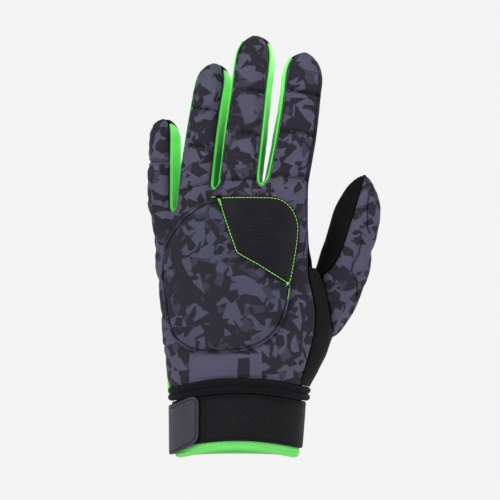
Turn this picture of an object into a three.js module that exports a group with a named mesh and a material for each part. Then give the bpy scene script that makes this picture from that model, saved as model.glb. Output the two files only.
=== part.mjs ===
// A padded field hockey glove for the left hand, in the shape it has when it is worn.
// Millimetres: +Z runs to the fingertips, -Y out of the back of the hand, +X towards the thumb.
// The origin is the centre of the wrist opening, at the height of its two sides.
import * as THREE from 'three';

// Fabrics and seams
const CLOTH_WALL = 1.2; // stretch fabric and suede
const NEOPRENE_WALL = 2.5; // the cuff
const LEATHER_WALL = 1.4; // the patch and the strap's tab
const SEAM_GAP = 0.4; // between two panels at a seam
const OVERLAY_GAP = 0.5; // under a piece that lies on another

// The cuff and everything on it
const OPENING_WIDTH = 69;
const OPENING_DEPTH = 50;
const WRIST_WIDTH = 72.5;
const WRIST_DEPTH = 51;
const WRIST_OFFSET = 1.4; // how far the wrist seam stands towards the thumb
const WRIST_RISE = 6.2; // how much higher the cuff's edges stand on the back of the hand
const HEM_HEIGHT = 5;
const HEM_THICKNESS = 4.2;
const STRAP_HEIGHT = 25.5;
const STRAP_THICKNESS = 2.2;
const ROLL_HEIGHT = 3.5;
const ROLL_THICKNESS = 4;
const BODY_FLARE = 3.1; // the body's wrist seam stands this far outside the cuff
const TAB_HEIGHT = 28;
const TAB_START = -34; // degrees round the wrist from the back of the hand
const TAB_END = -142;
const TAB_CORNER = 5;
const TAB_DROP = 3.5; // how much lower the tab hangs at its far end
const PULL_HEIGHT = 22;
const PULL_WIDTH = 7;
const PULL_THICKNESS = 2.2;

// The body of the hand
const PALM_LENGTH = 117; // wrist seam to the middle finger's seam
const THENAR_SWELL = 15.6; // how far the ball of the thumb stands out
const THENAR_SETBACK = 9; // and how far it lies towards the palm
const KNUCKLE_OFFSET = -4.7; // the knuckles' middle, from the wrist's
const KNUCKLE_SETBACK = -3; // the middle finger's axis, from the wrist's
const ARCH_SHARE = 0.72; // how much of the fingers' roll bends the row of knuckles
const ULNAR_SEAM = -100; // degrees round the hand from its back

// The fingers, from the little one to the index, and the gap between two at the crotch
const CROTCH_GAP = 1.2;
const FINGER_PAD_RISE = 1.9;
const PAD_CHANNEL = 0.14; // share of a pad that slopes down to its stitched channel
const BACK_SEAM = 58; // degrees from a finger's back to the seam of the side strip
const PALM_SEAM = 122;
const INDEX_SEAM = 66; // the same on the index finger's outer side, which has no strip
const STRIP_NARROWS = 0.78; // share of a finger's length where a side strip starts to narrow
const FINGERS = [
  {
    name: 'little', length: 50.8, width: 18.8, depth: 18, lean: 0.4, roll: -38, curl: 8, bow: 0,
    channels: [0.5],
  },
  {
    name: 'ring', length: 77.2, width: 23, depth: 20.5, lean: 8.1, roll: -22, curl: 10, bow: -0.8,
    channels: [0.36, 0.64],
  },
  {
    name: 'middle', length: 84.2, width: 25.3, depth: 22, lean: 6.8, roll: -12, curl: 8, bow: 0,
    channels: [0.32, 0.61],
  },
  {
    name: 'index', length: 73.4, width: 25.8, depth: 21.5, lean: 7.7, roll: 1, curl: 6, bow: 1.5,
    channels: [0.36, 0.675],
  },
];
// Where the knuckle seam lies at the hand's two edges and at the three crotches:
// drop is the share of the palm's length below the middle finger's seam
const KNUCKLE_LINE = [
  { at: 'little edge', drop: 0.111 },
  { at: 'little and ring', drop: 0.131 },
  { at: 'ring and middle', drop: 0.014 },
  { at: 'middle and index', drop: -0.011 },
  { at: 'index edge', drop: 0 },
];
// Finger sections: share of the length, and shares of the width and depth
const FINGER_PROFILE = [
  { along: -0.3, wide: 1.0, deep: 1.02 },
  { along: 0, wide: 1.0, deep: 1.0 },
  { along: 0.3, wide: 1.0, deep: 0.98 },
  { along: 0.5, wide: 0.965, deep: 0.94 },
  { along: 0.7, wide: 0.95, deep: 0.9 },
  { along: 0.85, wide: 0.96, deep: 0.86 },
  { along: 1, wide: 0.96, deep: 0.84 },
];
const FINGER_TIP = { round: 0.55, power: 2 }; // share of the width, and how full the end is
const FINGER_SQUARE = 2.3;

// The thumb
const THUMB = {
  name: 'thumb', length: 91.5, width: 27.5, depth: 25, lean: 15, roll: 0, curl: -3, bow: 1.2,
};
const THUMB_INSET = 7.2; // its axis starts this far inside the hand's edge
const THUMB_SETBACK = 9; // and this far towards the palm
const THUMB_START = 0.275; // share of the palm's length
const THUMB_OUTER_SEAM = 128;
const THUMB_PAD_RISE = 2;
const THUMB_PROFILE = [
  { along: -0.3, wide: 0.1, deep: 0.4 },
  { along: -0.12, wide: 0.28, deep: 0.6 },
  { along: 0.04, wide: 0.65, deep: 0.86 },
  { along: 0.19, wide: 0.9, deep: 0.98 },
  { along: 0.35, wide: 1.06, deep: 1.02 },
  { along: 0.5, wide: 1.0, deep: 1.0 },
  { along: 0.66, wide: 0.95, deep: 0.95 },
  { along: 0.8, wide: 0.93, deep: 0.9 },
  { along: 1, wide: 0.93, deep: 0.85 },
];
const THUMB_TIP = { round: 0.86, power: 1.55 };
// The stitched edge of the thumb's padded strip, in degrees round the thumb
const THUMB_STRIP = [
  { along: 0, angle: 94 },
  { along: 0.18, angle: 86 },
  { along: 0.26, angle: 66 },
  { along: 0.34, angle: 34 },
  { along: 0.42, angle: 25 },
  { along: 0.58, angle: 34 },
  { along: 0.66, angle: 41 },
  { along: 0.78, angle: 30 },
  { along: 0.9, angle: 45 },
  { along: 1, angle: 60 },
];
// The seam where the black palm side meets the printed back, which spreads at the thumb's base
const THUMB_INNER_SEAM = [
  { along: 0, angle: -66 },
  { along: 0.26, angle: -56 },
  { along: 0.33, angle: -44 },
  { along: 0.4, angle: -24 },
  { along: 0.5, angle: -14 },
  { along: 0.65, angle: -10 },
  { along: 0.85, angle: -4 },
  { along: 1, angle: 0 },
];
const THUMB_CHANNELS = [0.34, 0.56]; // shares of the length between the strip's pads

// Hand sections: up is the share of the palm's length. left goes from the wrist's edge (0) to the
// knuckles' (1), swell is the share of the thenar swell, back and palm are the shares of the
// wrist's depth on each side, arch is the share of the knuckles' arch, square the section's power.
const HAND_PROFILE = [
  { up: 0, left: 0, swell: 0.06, back: 0.53, palm: 0.53, arch: 0, square: 2.1 },
  { up: 0.08, left: 0.1, swell: 0.42, back: 0.5, palm: 0.54, arch: 0.06, square: 2.15 },
  { up: 0.17, left: 0.22, swell: 0.72, back: 0.46, palm: 0.55, arch: 0.16, square: 2.2 },
  { up: 0.28, left: 0.33, swell: 0.97, back: 0.42, palm: 0.54, arch: 0.3, square: 2.25 },
  { up: 0.4, left: 0.42, swell: 0.93, back: 0.385, palm: 0.51, arch: 0.46, square: 2.3 },
  { up: 0.48, left: 0.5, swell: 0.7, back: 0.36, palm: 0.48, arch: 0.58, square: 2.3 },
  { up: 0.54, left: 0.58, swell: 0.44, back: 0.345, palm: 0.455, arch: 0.68, square: 2.35 },
  { up: 0.6, left: 0.72, swell: 0.18, back: 0.33, palm: 0.42, arch: 0.78, square: 2.4 },
  { up: 0.68, left: 0.68, swell: 0.02, back: 0.31, palm: 0.37, arch: 0.88, square: 2.45 },
  { up: 0.8, left: 0.7, swell: 0, back: 0.28, palm: 0.31, arch: 0.96, square: 2.5 },
  { up: 0.9, left: 0.82, swell: 0, back: 0.26, palm: 0.27, arch: 1, square: 2.5 },
  { up: 1, left: 1, swell: 0, back: 0.24, palm: 0.24, arch: 1, square: 2.5 },
];
// The seam between the printed back and the black gusset, in degrees round the hand
const RADIAL_SEAM = [
  { up: 0, angle: 57 },
  { up: 0.16, angle: 50 },
  { up: 0.3, angle: 48 },
  { up: 0.46, angle: 50 },
  { up: 0.55, angle: 56 },
  { up: 0.61, angle: 68 },
  { up: 0.68, angle: 77 },
  { up: 0.85, angle: 78 },
];
const GUSSET_SEAM = 104; // the gusset's other seam at the wrist, in degrees
const KNUCKLE_BLEND = 0.7; // share of the palm's length where the hand starts to follow the fingers

// The raised pad and the leather patch on the back of the hand. Outlines are shares of the
// knuckles' width across from their middle and of the palm's length up from the wrist seam.
const PAD_RISE = 3.4;
const PAD_ROLL = 11; // width of its rounded edge
const PAD_OUTLINE = [
  { across: -0.12, up: 0.905 },
  { across: -0.215, up: 0.865 },
  { across: -0.31, up: 0.795 },
  { across: -0.392, up: 0.69 },
  { across: -0.415, up: 0.56 },
  { across: -0.39, up: 0.42 },
  { across: -0.365, up: 0.29 },
  { across: -0.32, up: 0.225 },
  { across: -0.21, up: 0.175 },
  { across: -0.06, up: 0.17 },
  { across: 0.11, up: 0.185 },
  { across: 0.25, up: 0.235 },
  { across: 0.33, up: 0.32 },
  { across: 0.37, up: 0.44 },
  { across: 0.385, up: 0.58 },
  { across: 0.395, up: 0.74 },
  { across: 0.345, up: 0.855 },
  { across: 0.21, up: 0.893 },
  { across: 0.04, up: 0.9 },
];
// corner says whether the outline turns sharply there
const PATCH_OUTLINE = [
  { across: -0.052, up: 0.918, corner: true },
  { across: 0.12, up: 0.922, corner: false },
  { across: 0.25, up: 0.918, corner: false },
  { across: 0.355, up: 0.895, corner: false },
  { across: 0.415, up: 0.83, corner: false },
  { across: 0.425, up: 0.735, corner: false },
  { across: 0.405, up: 0.62, corner: false },
  { across: 0.375, up: 0.49, corner: true },
  { across: 0.225, up: 0.565, corner: false },
  { across: 0.068, up: 0.655, corner: true },
  { across: 0.004, up: 0.79, corner: false },
];

// Colours
const PRINT = 0x3b3947;
const BLACK = 0x17161a;
const GREEN = 0x5fc862;
const LEATHER = 0x2b2a2f;
const STRAP_BLACK = 0x1d1c20;
const TAB_GREY = 0x46444d;
const material = (color, roughness) => new THREE.MeshStandardMaterial({ color, roughness, metalness: 0 });
const printed = material(PRINT, 0.75);
const black = material(BLACK, 0.9);
const green = material(GREEN, 0.6);
const leather = material(LEATHER, 0.5);
const elastic = material(STRAP_BLACK, 0.85);
const tabLeather = material(TAB_GREY, 0.45);

// Levels worked out from the sizes above
const STRAP_BOTTOM = HEM_HEIGHT + OVERLAY_GAP + 0.8;
const STRAP_TOP = STRAP_BOTTOM + STRAP_HEIGHT;
const LOWER_ROLL = STRAP_TOP + OVERLAY_GAP + ROLL_HEIGHT / 2;
const UPPER_ROLL = LOWER_ROLL + ROLL_HEIGHT + SEAM_GAP;
const HAND_BOTTOM = UPPER_ROLL + ROLL_HEIGHT / 2 + SEAM_GAP;
const CUFF_TOP = HAND_BOTTOM + 1.5;

const mix = THREE.MathUtils.lerp;
const rad = THREE.MathUtils.degToRad;
const deg = THREE.MathUtils.radToDeg;
const smooth = (value, low, high) => THREE.MathUtils.smoothstep(value, low, high);
const power = (value, exponent) => Math.sign(value) * Math.abs(value) ** exponent;

// A smooth curve through one column of a table, against its first column
function track(table, across, column) {
  const xs = table.map((row) => row[across]);
  const ys = table.map((row) => row[column]);
  const last = xs.length - 1;
  const slope = (k) => {
    const low = Math.max(k - 1, 0);
    const high = Math.min(k + 1, last);
    return (ys[high] - ys[low]) / (xs[high] - xs[low]);
  };
  return (x) => {
    if (x <= xs[0]) return ys[0];
    if (x >= xs[last]) return ys[last];
    const k = xs.findIndex((value) => value > x) - 1;
    const span = xs[k + 1] - xs[k];
    const t = (x - xs[k]) / span;
    const rest = 1 - t;
    return (1 + 2 * t) * rest * rest * ys[k] + t * rest * rest * span * slope(k)
      + t * t * (3 - 2 * t) * ys[k + 1] - t * t * rest * span * slope(k + 1);
  };
}

// A list of numbers read between its entries
function between(list, at) {
  const k = Math.min(Math.max(Math.floor(at), 0), list.length - 2);
  return mix(list[k], list[k + 1], at - k);
}

// A closed solid made from grids of outer and inner points: shared edges are welded by place,
// and the free edges get a rim
class Shell {
  constructor() {
    this.outer = [];
    this.inner = [];
    this.faces = [];
    this.places = new Map();
  }

  vertex({ outer, inner }) {
    const key = outer.toArray().map((value) => Math.round(value * 1e4)).join();
    if (!this.places.has(key)) {
      this.places.set(key, this.outer.length);
      this.outer.push(outer);
      this.inner.push(inner);
    }
    return this.places.get(key);
  }

  // samples is a list of rows; its faces look out when columns x rows points outwards
  grid(samples, turned = false) {
    const ids = samples.map((row) => row.map((sample) => this.vertex(sample)));
    for (let i = 0; i + 1 < ids.length; i += 1) {
      for (let j = 0; j + 1 < ids[i].length; j += 1) {
        const quad = [ids[i][j], ids[i][j + 1], ids[i + 1][j + 1], ids[i + 1][j]];
        this.face(turned ? quad.reverse() : quad);
      }
    }
    return this;
  }

  face(corners) {
    for (let k = 2; k < corners.length; k += 1) {
      const triangle = [corners[0], corners[k - 1], corners[k]];
      if (new Set(triangle).size === 3) this.faces.push(triangle);
    }
  }

  mesh(name, surface) {
    const count = this.outer.length;
    const edges = new Map();
    this.faces.forEach(([a, b, c]) => {
      [[a, b], [b, c], [c, a]].forEach(([from, to]) => edges.set(`${from},${to}`, [from, to]));
    });
    const index = this.faces.flatMap(([a, b, c]) => [a, b, c, count + a, count + c, count + b]);
    edges.forEach(([from, to]) => {
      if (edges.has(`${to},${from}`)) return;
      index.push(from, count + from, to, to, count + from, count + to);
    });
    const geometry = new THREE.BufferGeometry().setFromPoints([...this.outer, ...this.inner]);
    geometry.setIndex(index);
    geometry.computeVertexNormals();
    const made = new THREE.Mesh(geometry, surface);
    made.name = name;
    return made;
  }
}

// The outer and inner point over one place of a surface: across and up are its two directions
function skinSample(surface, across, up, steps, { rise = 0, wall = CLOTH_WALL, lift = 0 } = {}) {
  const place = surface(across, up);
  const right = surface(across + steps[0], up).sub(surface(across - steps[0], up));
  const above = surface(across, up + steps[1]).sub(surface(across, up - steps[1]));
  const normal = right.cross(above).normalize();
  return {
    outer: place.clone().addScaledVector(normal, lift + rise),
    inner: place.clone().addScaledVector(normal, lift - wall),
    normal,
  };
}

// How many degrees round a surface cover half a seam's gap
function seamStep(surface, angle, up) {
  const span = surface(angle + 1, up).distanceTo(surface(angle - 1, up)) / 2;
  return Math.min(SEAM_GAP / 2 / span, 24);
}

// A finger or the thumb: a tube of superelliptic sections along a leaning, curling axis
class Limb {
  constructor(spec, base, profile, tip) {
    Object.assign(this, spec, { base });
    this.wide = track(profile, 'along', 'wide');
    this.deep = track(profile, 'along', 'deep');
    this.tip = tip;
    this.tipLength = tip.round * spec.width;
    const lean = rad(spec.lean);
    const roll = rad(spec.roll);
    const right = new THREE.Vector3(Math.cos(lean), 0, -Math.sin(lean));
    const back = new THREE.Vector3(0, -1, 0);
    this.axis = new THREE.Vector3(Math.sin(lean), 0, Math.cos(lean));
    this.side = right;
    this.across = right.clone().multiplyScalar(Math.cos(roll)).addScaledVector(back, -Math.sin(roll));
    this.back = back.clone().multiplyScalar(Math.cos(roll)).addScaledVector(right, Math.sin(roll));
    this.surface = (angle, along) => this.point(angle, along);
  }

  centre(along) {
    const share = along / this.length;
    return this.base.clone()
      .addScaledVector(this.axis, along)
      .addScaledVector(this.side, this.bow * 4 * share * (1 - share))
      .add(new THREE.Vector3(0, this.curl * share * Math.abs(share), 0));
  }

  // How far the section's edge is from its centre
  reach(angle, along) {
    const share = along / this.length;
    const intoTip = Math.min(Math.max((along - this.length + this.tipLength) / this.tipLength, 0), 1);
    const round = (1 - intoTip ** this.tip.power) ** (1 / this.tip.power);
    const wide = (this.width / 2) * this.wide(share);
    const deep = (this.depth / 2) * this.deep(share);
    const turn = rad(angle);
    const sum = Math.abs(Math.sin(turn) / wide) ** FINGER_SQUARE
      + Math.abs(Math.cos(turn) / deep) ** FINGER_SQUARE;
    return round * sum ** (-1 / FINGER_SQUARE);
  }

  point(angle, along) {
    const turn = rad(angle);
    const reach = this.reach(angle, along);
    return this.centre(along)
      .addScaledVector(this.across, reach * Math.sin(turn))
      .addScaledVector(this.back, reach * Math.cos(turn));
  }

  // How far a point lies outside the tube (negative inside)
  clearance(place) {
    const along = place.clone().sub(this.base).dot(this.axis);
    const held = Math.min(Math.max(along, -0.3 * this.length), this.length * 0.999);
    const from = place.clone().sub(this.centre(held));
    const angle = deg(Math.atan2(from.dot(this.across), from.dot(this.back)));
    return Math.hypot(from.dot(this.across), from.dot(this.back)) - this.reach(angle, held);
  }

  sample(angle, along, options) {
    const room = Math.min(along + 0.3, this.length - 0.002) - along;
    return skinSample(this.surface, angle, along, [3, Math.min(0.3, room)], options);
  }
}

// Rows round a limb's tip, as shares of the tip's length
const PALM_TIP_ROWS = [0.4, 0.7, 0.88, 0.995];

// Shares of a limb's length for the rows of a panel: padded panels have rows beside each channel
function stations(limb, channels, padded) {
  const tipShare = limb.tipLength / limb.length;
  const stops = [0, ...channels, 1 - tipShare];
  const rows = [0];
  stops.slice(1).forEach((stop, k) => {
    const from = stops[k];
    const inner = padded ? [PAD_CHANNEL, 0.5] : [0.5];
    if (padded && k < channels.length) inner.push(1 - PAD_CHANNEL);
    inner.forEach((share) => rows.push(mix(from, stop, share)));
    rows.push(stop);
  });
  const intoTip = padded ? [0.35, 0.62, 0.82, 0.94, 0.995] : PALM_TIP_ROWS;
  intoTip.forEach((share) => rows.push(1 - tipShare * (1 - share)));
  return rows;
}
// A side strip ends two rows before its finger's palm side does
const STRIP_ROWS_SHORT = 2;
function stripStations(limb) {
  return stations(limb, limb.channels, false).slice(0, -STRIP_ROWS_SHORT);
}

// Height of the padding at a share of the length: it sinks to nothing at each channel
function padding(share, channels, rise) {
  const stops = [0, ...channels, 1];
  const k = Math.max(stops.findIndex((stop) => stop > share - 1e-6), 1);
  const t = (share - stops[k - 1]) / (stops[k] - stops[k - 1]);
  const last = k === stops.length - 1;
  const low = Math.min(t / PAD_CHANNEL, 1);
  const high = last ? Math.min((1 - t) / 0.5, 1) : Math.min((1 - t) / PAD_CHANNEL, 1);
  return rise * (0.78 * Math.sqrt(Math.max(low * high, 0)) + 0.22 * Math.sin(Math.PI * Math.min(Math.max(t, 0), 1)));
}

// The finger bases stand side by side along the arch of the knuckles
function placeFingers() {
  const places = [new THREE.Vector2(0, 0)];
  FINGERS.slice(1).forEach((finger, k) => {
    const before = FINGERS[k];
    const step = (before.width + finger.width) / 2 + CROTCH_GAP;
    const tilt = rad((before.roll + finger.roll) / 2);
    const last = places[k];
    places.push(new THREE.Vector2(last.x + step * Math.cos(tilt), last.y + step * Math.sin(tilt) * ARCH_SHARE));
  });
  const first = places[0].x - FINGERS[0].width / 2;
  const end = places.at(-1).x + FINGERS.at(-1).width / 2;
  const heights = KNUCKLE_LINE.map(({ drop }) => HAND_BOTTOM + PALM_LENGTH * (1 - drop));
  return FINGERS.map((finger, k) => {
    const base = new THREE.Vector3(
      places[k].x - (first + end) / 2 + KNUCKLE_OFFSET,
      places[k].y - places[2].y + KNUCKLE_SETBACK,
      (heights[k] + heights[k + 1]) / 2,
    );
    const limb = new Limb(finger, base, FINGER_PROFILE, FINGER_TIP);
    const slant = Math.cos(rad(finger.lean));
    limb.leftStart = (heights[k] - base.z) / slant;
    limb.rightStart = (heights[k + 1] - base.z) / slant;
    limb.leftSeam = BACK_SEAM;
    limb.rightSeam = k === FINGERS.length - 1 ? INDEX_SEAM : BACK_SEAM;
    return limb;
  });
}
const fingers = placeFingers();
const [little, , , index] = fingers;
const knuckleLeft = little.base.x - little.width / 2;
const knuckleRight = index.base.x + index.width / 2;
const knuckleWidth = knuckleRight - knuckleLeft;

// Where a finger's panels start, which slants from one crotch to the other
function fingerStart(finger, angle) {
  const share = Math.min(Math.max(Math.sin(rad(angle)) / Math.sin(rad(BACK_SEAM)), -1), 1);
  return mix(finger.leftStart, finger.rightStart, (share + 1) / 2);
}
function alongFinger(finger, angle, share) {
  const start = fingerStart(finger, angle);
  return start + share * (finger.length - start);
}
// The palm's seam on a side with a strip closes up to the back's seam where the strip ends
function palmSeam(finger, seam, share) {
  const closed = 1 - (1 - PALM_TIP_ROWS.at(-STRIP_ROWS_SHORT)) * (finger.tipLength / finger.length);
  const t = Math.min(Math.max((share - STRIP_NARROWS) / (closed - STRIP_NARROWS), 0), 1);
  return mix(PALM_SEAM, seam, t ** 2);
}
function fingerSample(finger, angle, share, options) {
  return finger.sample(angle, alongFinger(finger, angle, share), options);
}
// The point where a gap's half width is left beside a seam angle
function beside(finger, seam, share, direction) {
  return seam + direction * seamStep(finger.surface, seam, alongFinger(finger, seam, share));
}

const BACK_COLUMNS = 6;
const PALM_COLUMNS = 4;
const STRIP_COLUMNS = 3;
const ARC_ROWS = 3; // round the bottom of a crotch

function fingerBackRows(finger) {
  return stations(finger, finger.channels, true).map((share) => {
    const left = beside(finger, -finger.leftSeam, share, 1);
    const right = beside(finger, finger.rightSeam, share, -1);
    return Array.from({ length: BACK_COLUMNS + 1 }, (_, j) => {
      const t = j / BACK_COLUMNS;
      const crown = 1 - Math.abs(2 * t - 1) ** 3.5;
      const rise = padding(share, finger.channels, FINGER_PAD_RISE) * crown;
      return fingerSample(finger, mix(left, right, t), share, { rise });
    });
  });
}

// The palm side runs from the right seam round to the left one
function fingerPalmRows(finger, hasLeftStrip, hasRightStrip) {
  return stations(finger, finger.channels, false).map((share) => {
    const rightSeam = hasRightStrip ? palmSeam(finger, finger.rightSeam, share) : finger.rightSeam;
    const leftSeam = hasLeftStrip ? palmSeam(finger, finger.leftSeam, share) : finger.leftSeam;
    const right = beside(finger, rightSeam, share, 1);
    const left = 360 + beside(finger, -leftSeam, share, -1);
    return Array.from({ length: PALM_COLUMNS + 1 }, (_, j) => (
      fingerSample(finger, mix(right, left, j / PALM_COLUMNS), share)));
  });
}

// The strip between two fingers: down the first one's right side, round the crotch, up the other's left
class Crotch {
  constructor(first, second) {
    this.first = first;
    this.second = second;
    this.down = stripStations(first).reverse();
    this.up = stripStations(second);
    this.rows = this.down.length + ARC_ROWS + this.up.length - 2;
  }

  // angle is measured from each finger's back towards the other finger
  point(angle, row) {
    const turn = this.down.length - 1;
    if (row < turn) {
      const share = between(this.down, row);
      return this.first.point(angle, alongFinger(this.first, angle, share));
    }
    if (row > turn + ARC_ROWS) {
      const share = between(this.up, row - turn - ARC_ROWS);
      return this.second.point(-angle, alongFinger(this.second, -angle, share));
    }
    const from = this.first.point(angle, fingerStart(this.first, angle));
    const to = this.second.point(-angle, fingerStart(this.second, -angle));
    const half = to.clone().sub(from).multiplyScalar(0.5);
    const round = (Math.PI * (row - turn)) / ARC_ROWS;
    return from.clone().add(to).multiplyScalar(0.5)
      .addScaledVector(half, -Math.cos(round))
      .add(new THREE.Vector3(0, 0, -half.length() * Math.sin(round)));
  }

  sample(angle, row) {
    const made = skinSample((a, r) => this.point(a, r), angle, row, [2, 0.2]);
    // down one finger and up the other, the strip's rows run against its outward side
    const normal = made.normal.negate();
    const place = made.outer;
    return { outer: place, inner: place.clone().addScaledVector(normal, -CLOTH_WALL), normal };
  }

  // One of the two seams, as the angle on both fingers
  seamAngle(row, palmSide) {
    const turn = this.down.length - 1;
    const onFirst = row <= turn;
    const finger = onFirst ? this.first : this.second;
    const share = onFirst ? between(this.down, row) : between(this.up, Math.max(row - turn - ARC_ROWS, 0));
    const seam = palmSide ? palmSeam(finger, BACK_SEAM, share) : BACK_SEAM;
    return { seam, step: seamStep(finger.surface, seam, alongFinger(finger, seam, share)) };
  }

  strip(name) {
    const samples = Array.from({ length: this.rows + 1 }, (_, row) => {
      const backSide = this.seamAngle(row, false);
      const palmSide = this.seamAngle(row, true);
      const from = backSide.seam + backSide.step;
      const to = Math.max(palmSide.seam - palmSide.step, from + 4);
      return Array.from({ length: STRIP_COLUMNS + 1 }, (__, j) => (
        this.sample(mix(from, to, j / STRIP_COLUMNS), row)));
    });
    return new Shell().grid(samples, true).mesh(name, green);
  }

  // The hand's own edge round the bottom of the crotch, without its two ends
  handEdge(palmSide) {
    const turn = this.down.length - 1;
    return Array.from({ length: ARC_ROWS - 1 }, (_, k) => {
      const row = turn + 1 + k;
      const { seam, step } = this.seamAngle(row, palmSide);
      return this.sample(seam + (palmSide ? step : -step), row);
    });
  }
}
const crotches = fingers.slice(1).map((finger, k) => new Crotch(fingers[k], finger));

// The hand's sections, without what the fingers' bases add
const wristLeft = WRIST_OFFSET - WRIST_WIDTH / 2 - BODY_FLARE;
const wristRight = WRIST_OFFSET + WRIST_WIDTH / 2 + BODY_FLARE;
const hand = Object.fromEntries(
  ['left', 'swell', 'back', 'palm', 'arch', 'square'].map((column) => [column, track(HAND_PROFILE, 'up', column)]),
);
function handEdges(up) {
  return {
    left: mix(wristLeft, knuckleLeft, hand.left(up)),
    right: mix(wristRight, knuckleRight, Math.min(up, 1)) + THENAR_SWELL * hand.swell(up),
  };
}
// The line through the finger bases, carried on past both ends
function knuckleArch(x) {
  let k = fingers.findIndex(({ base }) => base.x > x) - 1;
  if (k < 0) k = x < fingers[0].base.x ? 0 : fingers.length - 2;
  const from = fingers[k].base;
  const to = fingers[k + 1].base;
  return mix(from.y, to.y, (x - from.x) / (to.x - from.x));
}
function handSection(up) {
  const { left, right } = handEdges(up);
  return {
    middle: (left + right) / 2,
    half: (right - left) / 2,
    back: WRIST_DEPTH * hand.back(up),
    palm: WRIST_DEPTH * hand.palm(up),
    square: hand.square(up),
  };
}
function handCentre(x, up, section) {
  const outward = Math.max((x - section.middle) / section.half, 0);
  return hand.arch(up) * knuckleArch(x) + THENAR_SETBACK * hand.swell(up) * outward ** 2;
}
function handSkin(angle, up) {
  const section = handSection(up);
  const sine = Math.sin(rad(angle));
  const cosine = Math.cos(rad(angle));
  const x = section.middle + section.half * power(sine, 2 / section.square);
  const deep = cosine > 0 ? section.back : section.palm;
  return new THREE.Vector3(
    x,
    handCentre(x, up, section) - deep * power(cosine, 2 / section.square),
    HAND_BOTTOM + up * PALM_LENGTH,
  );
}
function handAngle(place) {
  const up = (place.z - HAND_BOTTOM) / PALM_LENGTH;
  const section = handSection(up);
  const outward = (place.x - section.middle) / section.half;
  const offset = handCentre(place.x, up, section) - place.y;
  const backward = offset / (offset > 0 ? section.back : section.palm);
  return deg(Math.atan2(power(outward, section.square / 2), power(backward, section.square / 2)));
}

// The hand's upper edge: the finger bases and the crotches, once round from the little finger's
// outer seam over the back, and back along the palm
const backRows = fingers.map(fingerBackRows);
const palmRows = fingers.map((finger, k) => fingerPalmRows(finger, k > 0, k < fingers.length - 1));
function handTop(palmSide) {
  const rows = palmSide ? [...palmRows].reverse() : backRows;
  const arcs = palmSide ? [...crotches].reverse() : crotches;
  return rows.flatMap((finger, k) => {
    const edge = k < arcs.length ? arcs[k].handEdge(palmSide) : [];
    return [...finger[0], ...(palmSide ? edge.reverse() : edge)];
  });
}
function withAngles(top, from) {
  let last = from;
  return top.map((sample) => {
    let angle = handAngle(sample.outer);
    while (angle < last - 180) angle += 360;
    last = Math.max(angle, last + 0.5);
    return { ...sample, angle: last };
  });
}
const backTop = withAngles(handTop(false), -130);
const palmTop = withAngles(handTop(true), backTop.at(-1).angle);
const topRing = [...backTop, ...palmTop];

function topAt(angle) {
  let turn = angle;
  while (turn < topRing[0].angle) turn += 360;
  while (turn >= topRing[0].angle + 360) turn -= 360;
  let k = topRing.findIndex((entry) => entry.angle > turn) - 1;
  if (k < 0) k = topRing.length - 1;
  const from = topRing[k];
  const to = topRing[(k + 1) % topRing.length];
  const toAngle = to.angle > from.angle ? to.angle : to.angle + 360;
  return from.outer.clone().lerp(to.outer, (turn - from.angle) / (toAngle - from.angle));
}
const rise = (angle) => WRIST_RISE * Math.max(Math.cos(rad(angle)), 0) ** 2;

// The hand's outer surface: share runs from the wrist seam to the knuckle seam
function handPoint(angle, share) {
  const top = topAt(angle);
  const topUp = (top.z - HAND_BOTTOM) / PALM_LENGTH;
  const place = handSkin(angle, topUp * share);
  const pull = smooth(share, KNUCKLE_BLEND, 1);
  const offset = top.clone().sub(handSkin(angle, topUp));
  return place.addScaledVector(offset, pull).add(new THREE.Vector3(0, 0, rise(angle) * (1 - share) ** 2));
}
function handSample(angle, share, options) {
  const held = Math.min(Math.max(share, 0.01), 0.99);
  const steep = skinSample(handPoint, angle, held, [2.5, 0.01]);
  const place = handPoint(angle, share);
  const { rise: height = 0, wall = CLOTH_WALL, lift = 0 } = options ?? {};
  return {
    outer: place.clone().addScaledVector(steep.normal, lift + height),
    inner: place.clone().addScaledVector(steep.normal, lift - wall),
    normal: steep.normal,
  };
}

// The thumb starts inside the ball of the hand
const thumbEdge = handEdges(THUMB_START).right;
const thumb = new Limb(
  THUMB,
  new THREE.Vector3(thumbEdge - THUMB_INSET, THUMB_SETBACK, HAND_BOTTOM + THUMB_START * PALM_LENGTH),
  THUMB_PROFILE,
  THUMB_TIP,
);

// How far the hand's surface is outside the room that the thumb needs (negative inside it)
const HOLE_MARGIN = 0.75;
const SIDE_ANGLES = Array.from({ length: 76 }, (_, k) => 30 + 2 * k);
const thumbRoom = (angle, share) => thumb.clearance(handPoint(angle, share)) - HOLE_MARGIN;
function deepestAngle(share) {
  const rooms = SIDE_ANGLES.map((angle) => thumbRoom(angle, share));
  return SIDE_ANGLES[rooms.indexOf(Math.min(...rooms))];
}
// Where a measure turns from negative to positive between two values
function crossing(measure, negative, positive) {
  let [near, far] = [negative, positive];
  for (let k = 0; k < 20; k += 1) {
    const middle = (near + far) / 2;
    if (measure(middle) < 0) near = middle;
    else far = middle;
  }
  return far;
}
// The two edges of the thumb's hole at one height of the hand, in degrees
function thumbHole(share) {
  const deepest = deepestAngle(share);
  const room = (angle) => thumbRoom(angle, share);
  if (room(deepest) >= 0) return { front: deepest, rear: deepest };
  const edge = (step) => {
    let angle = deepest;
    while (room(angle + step) < 0 && Math.abs(angle - deepest) < 120) angle += step;
    return crossing(room, angle, angle + step);
  };
  return { front: edge(-2), rear: edge(2) };
}
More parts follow.
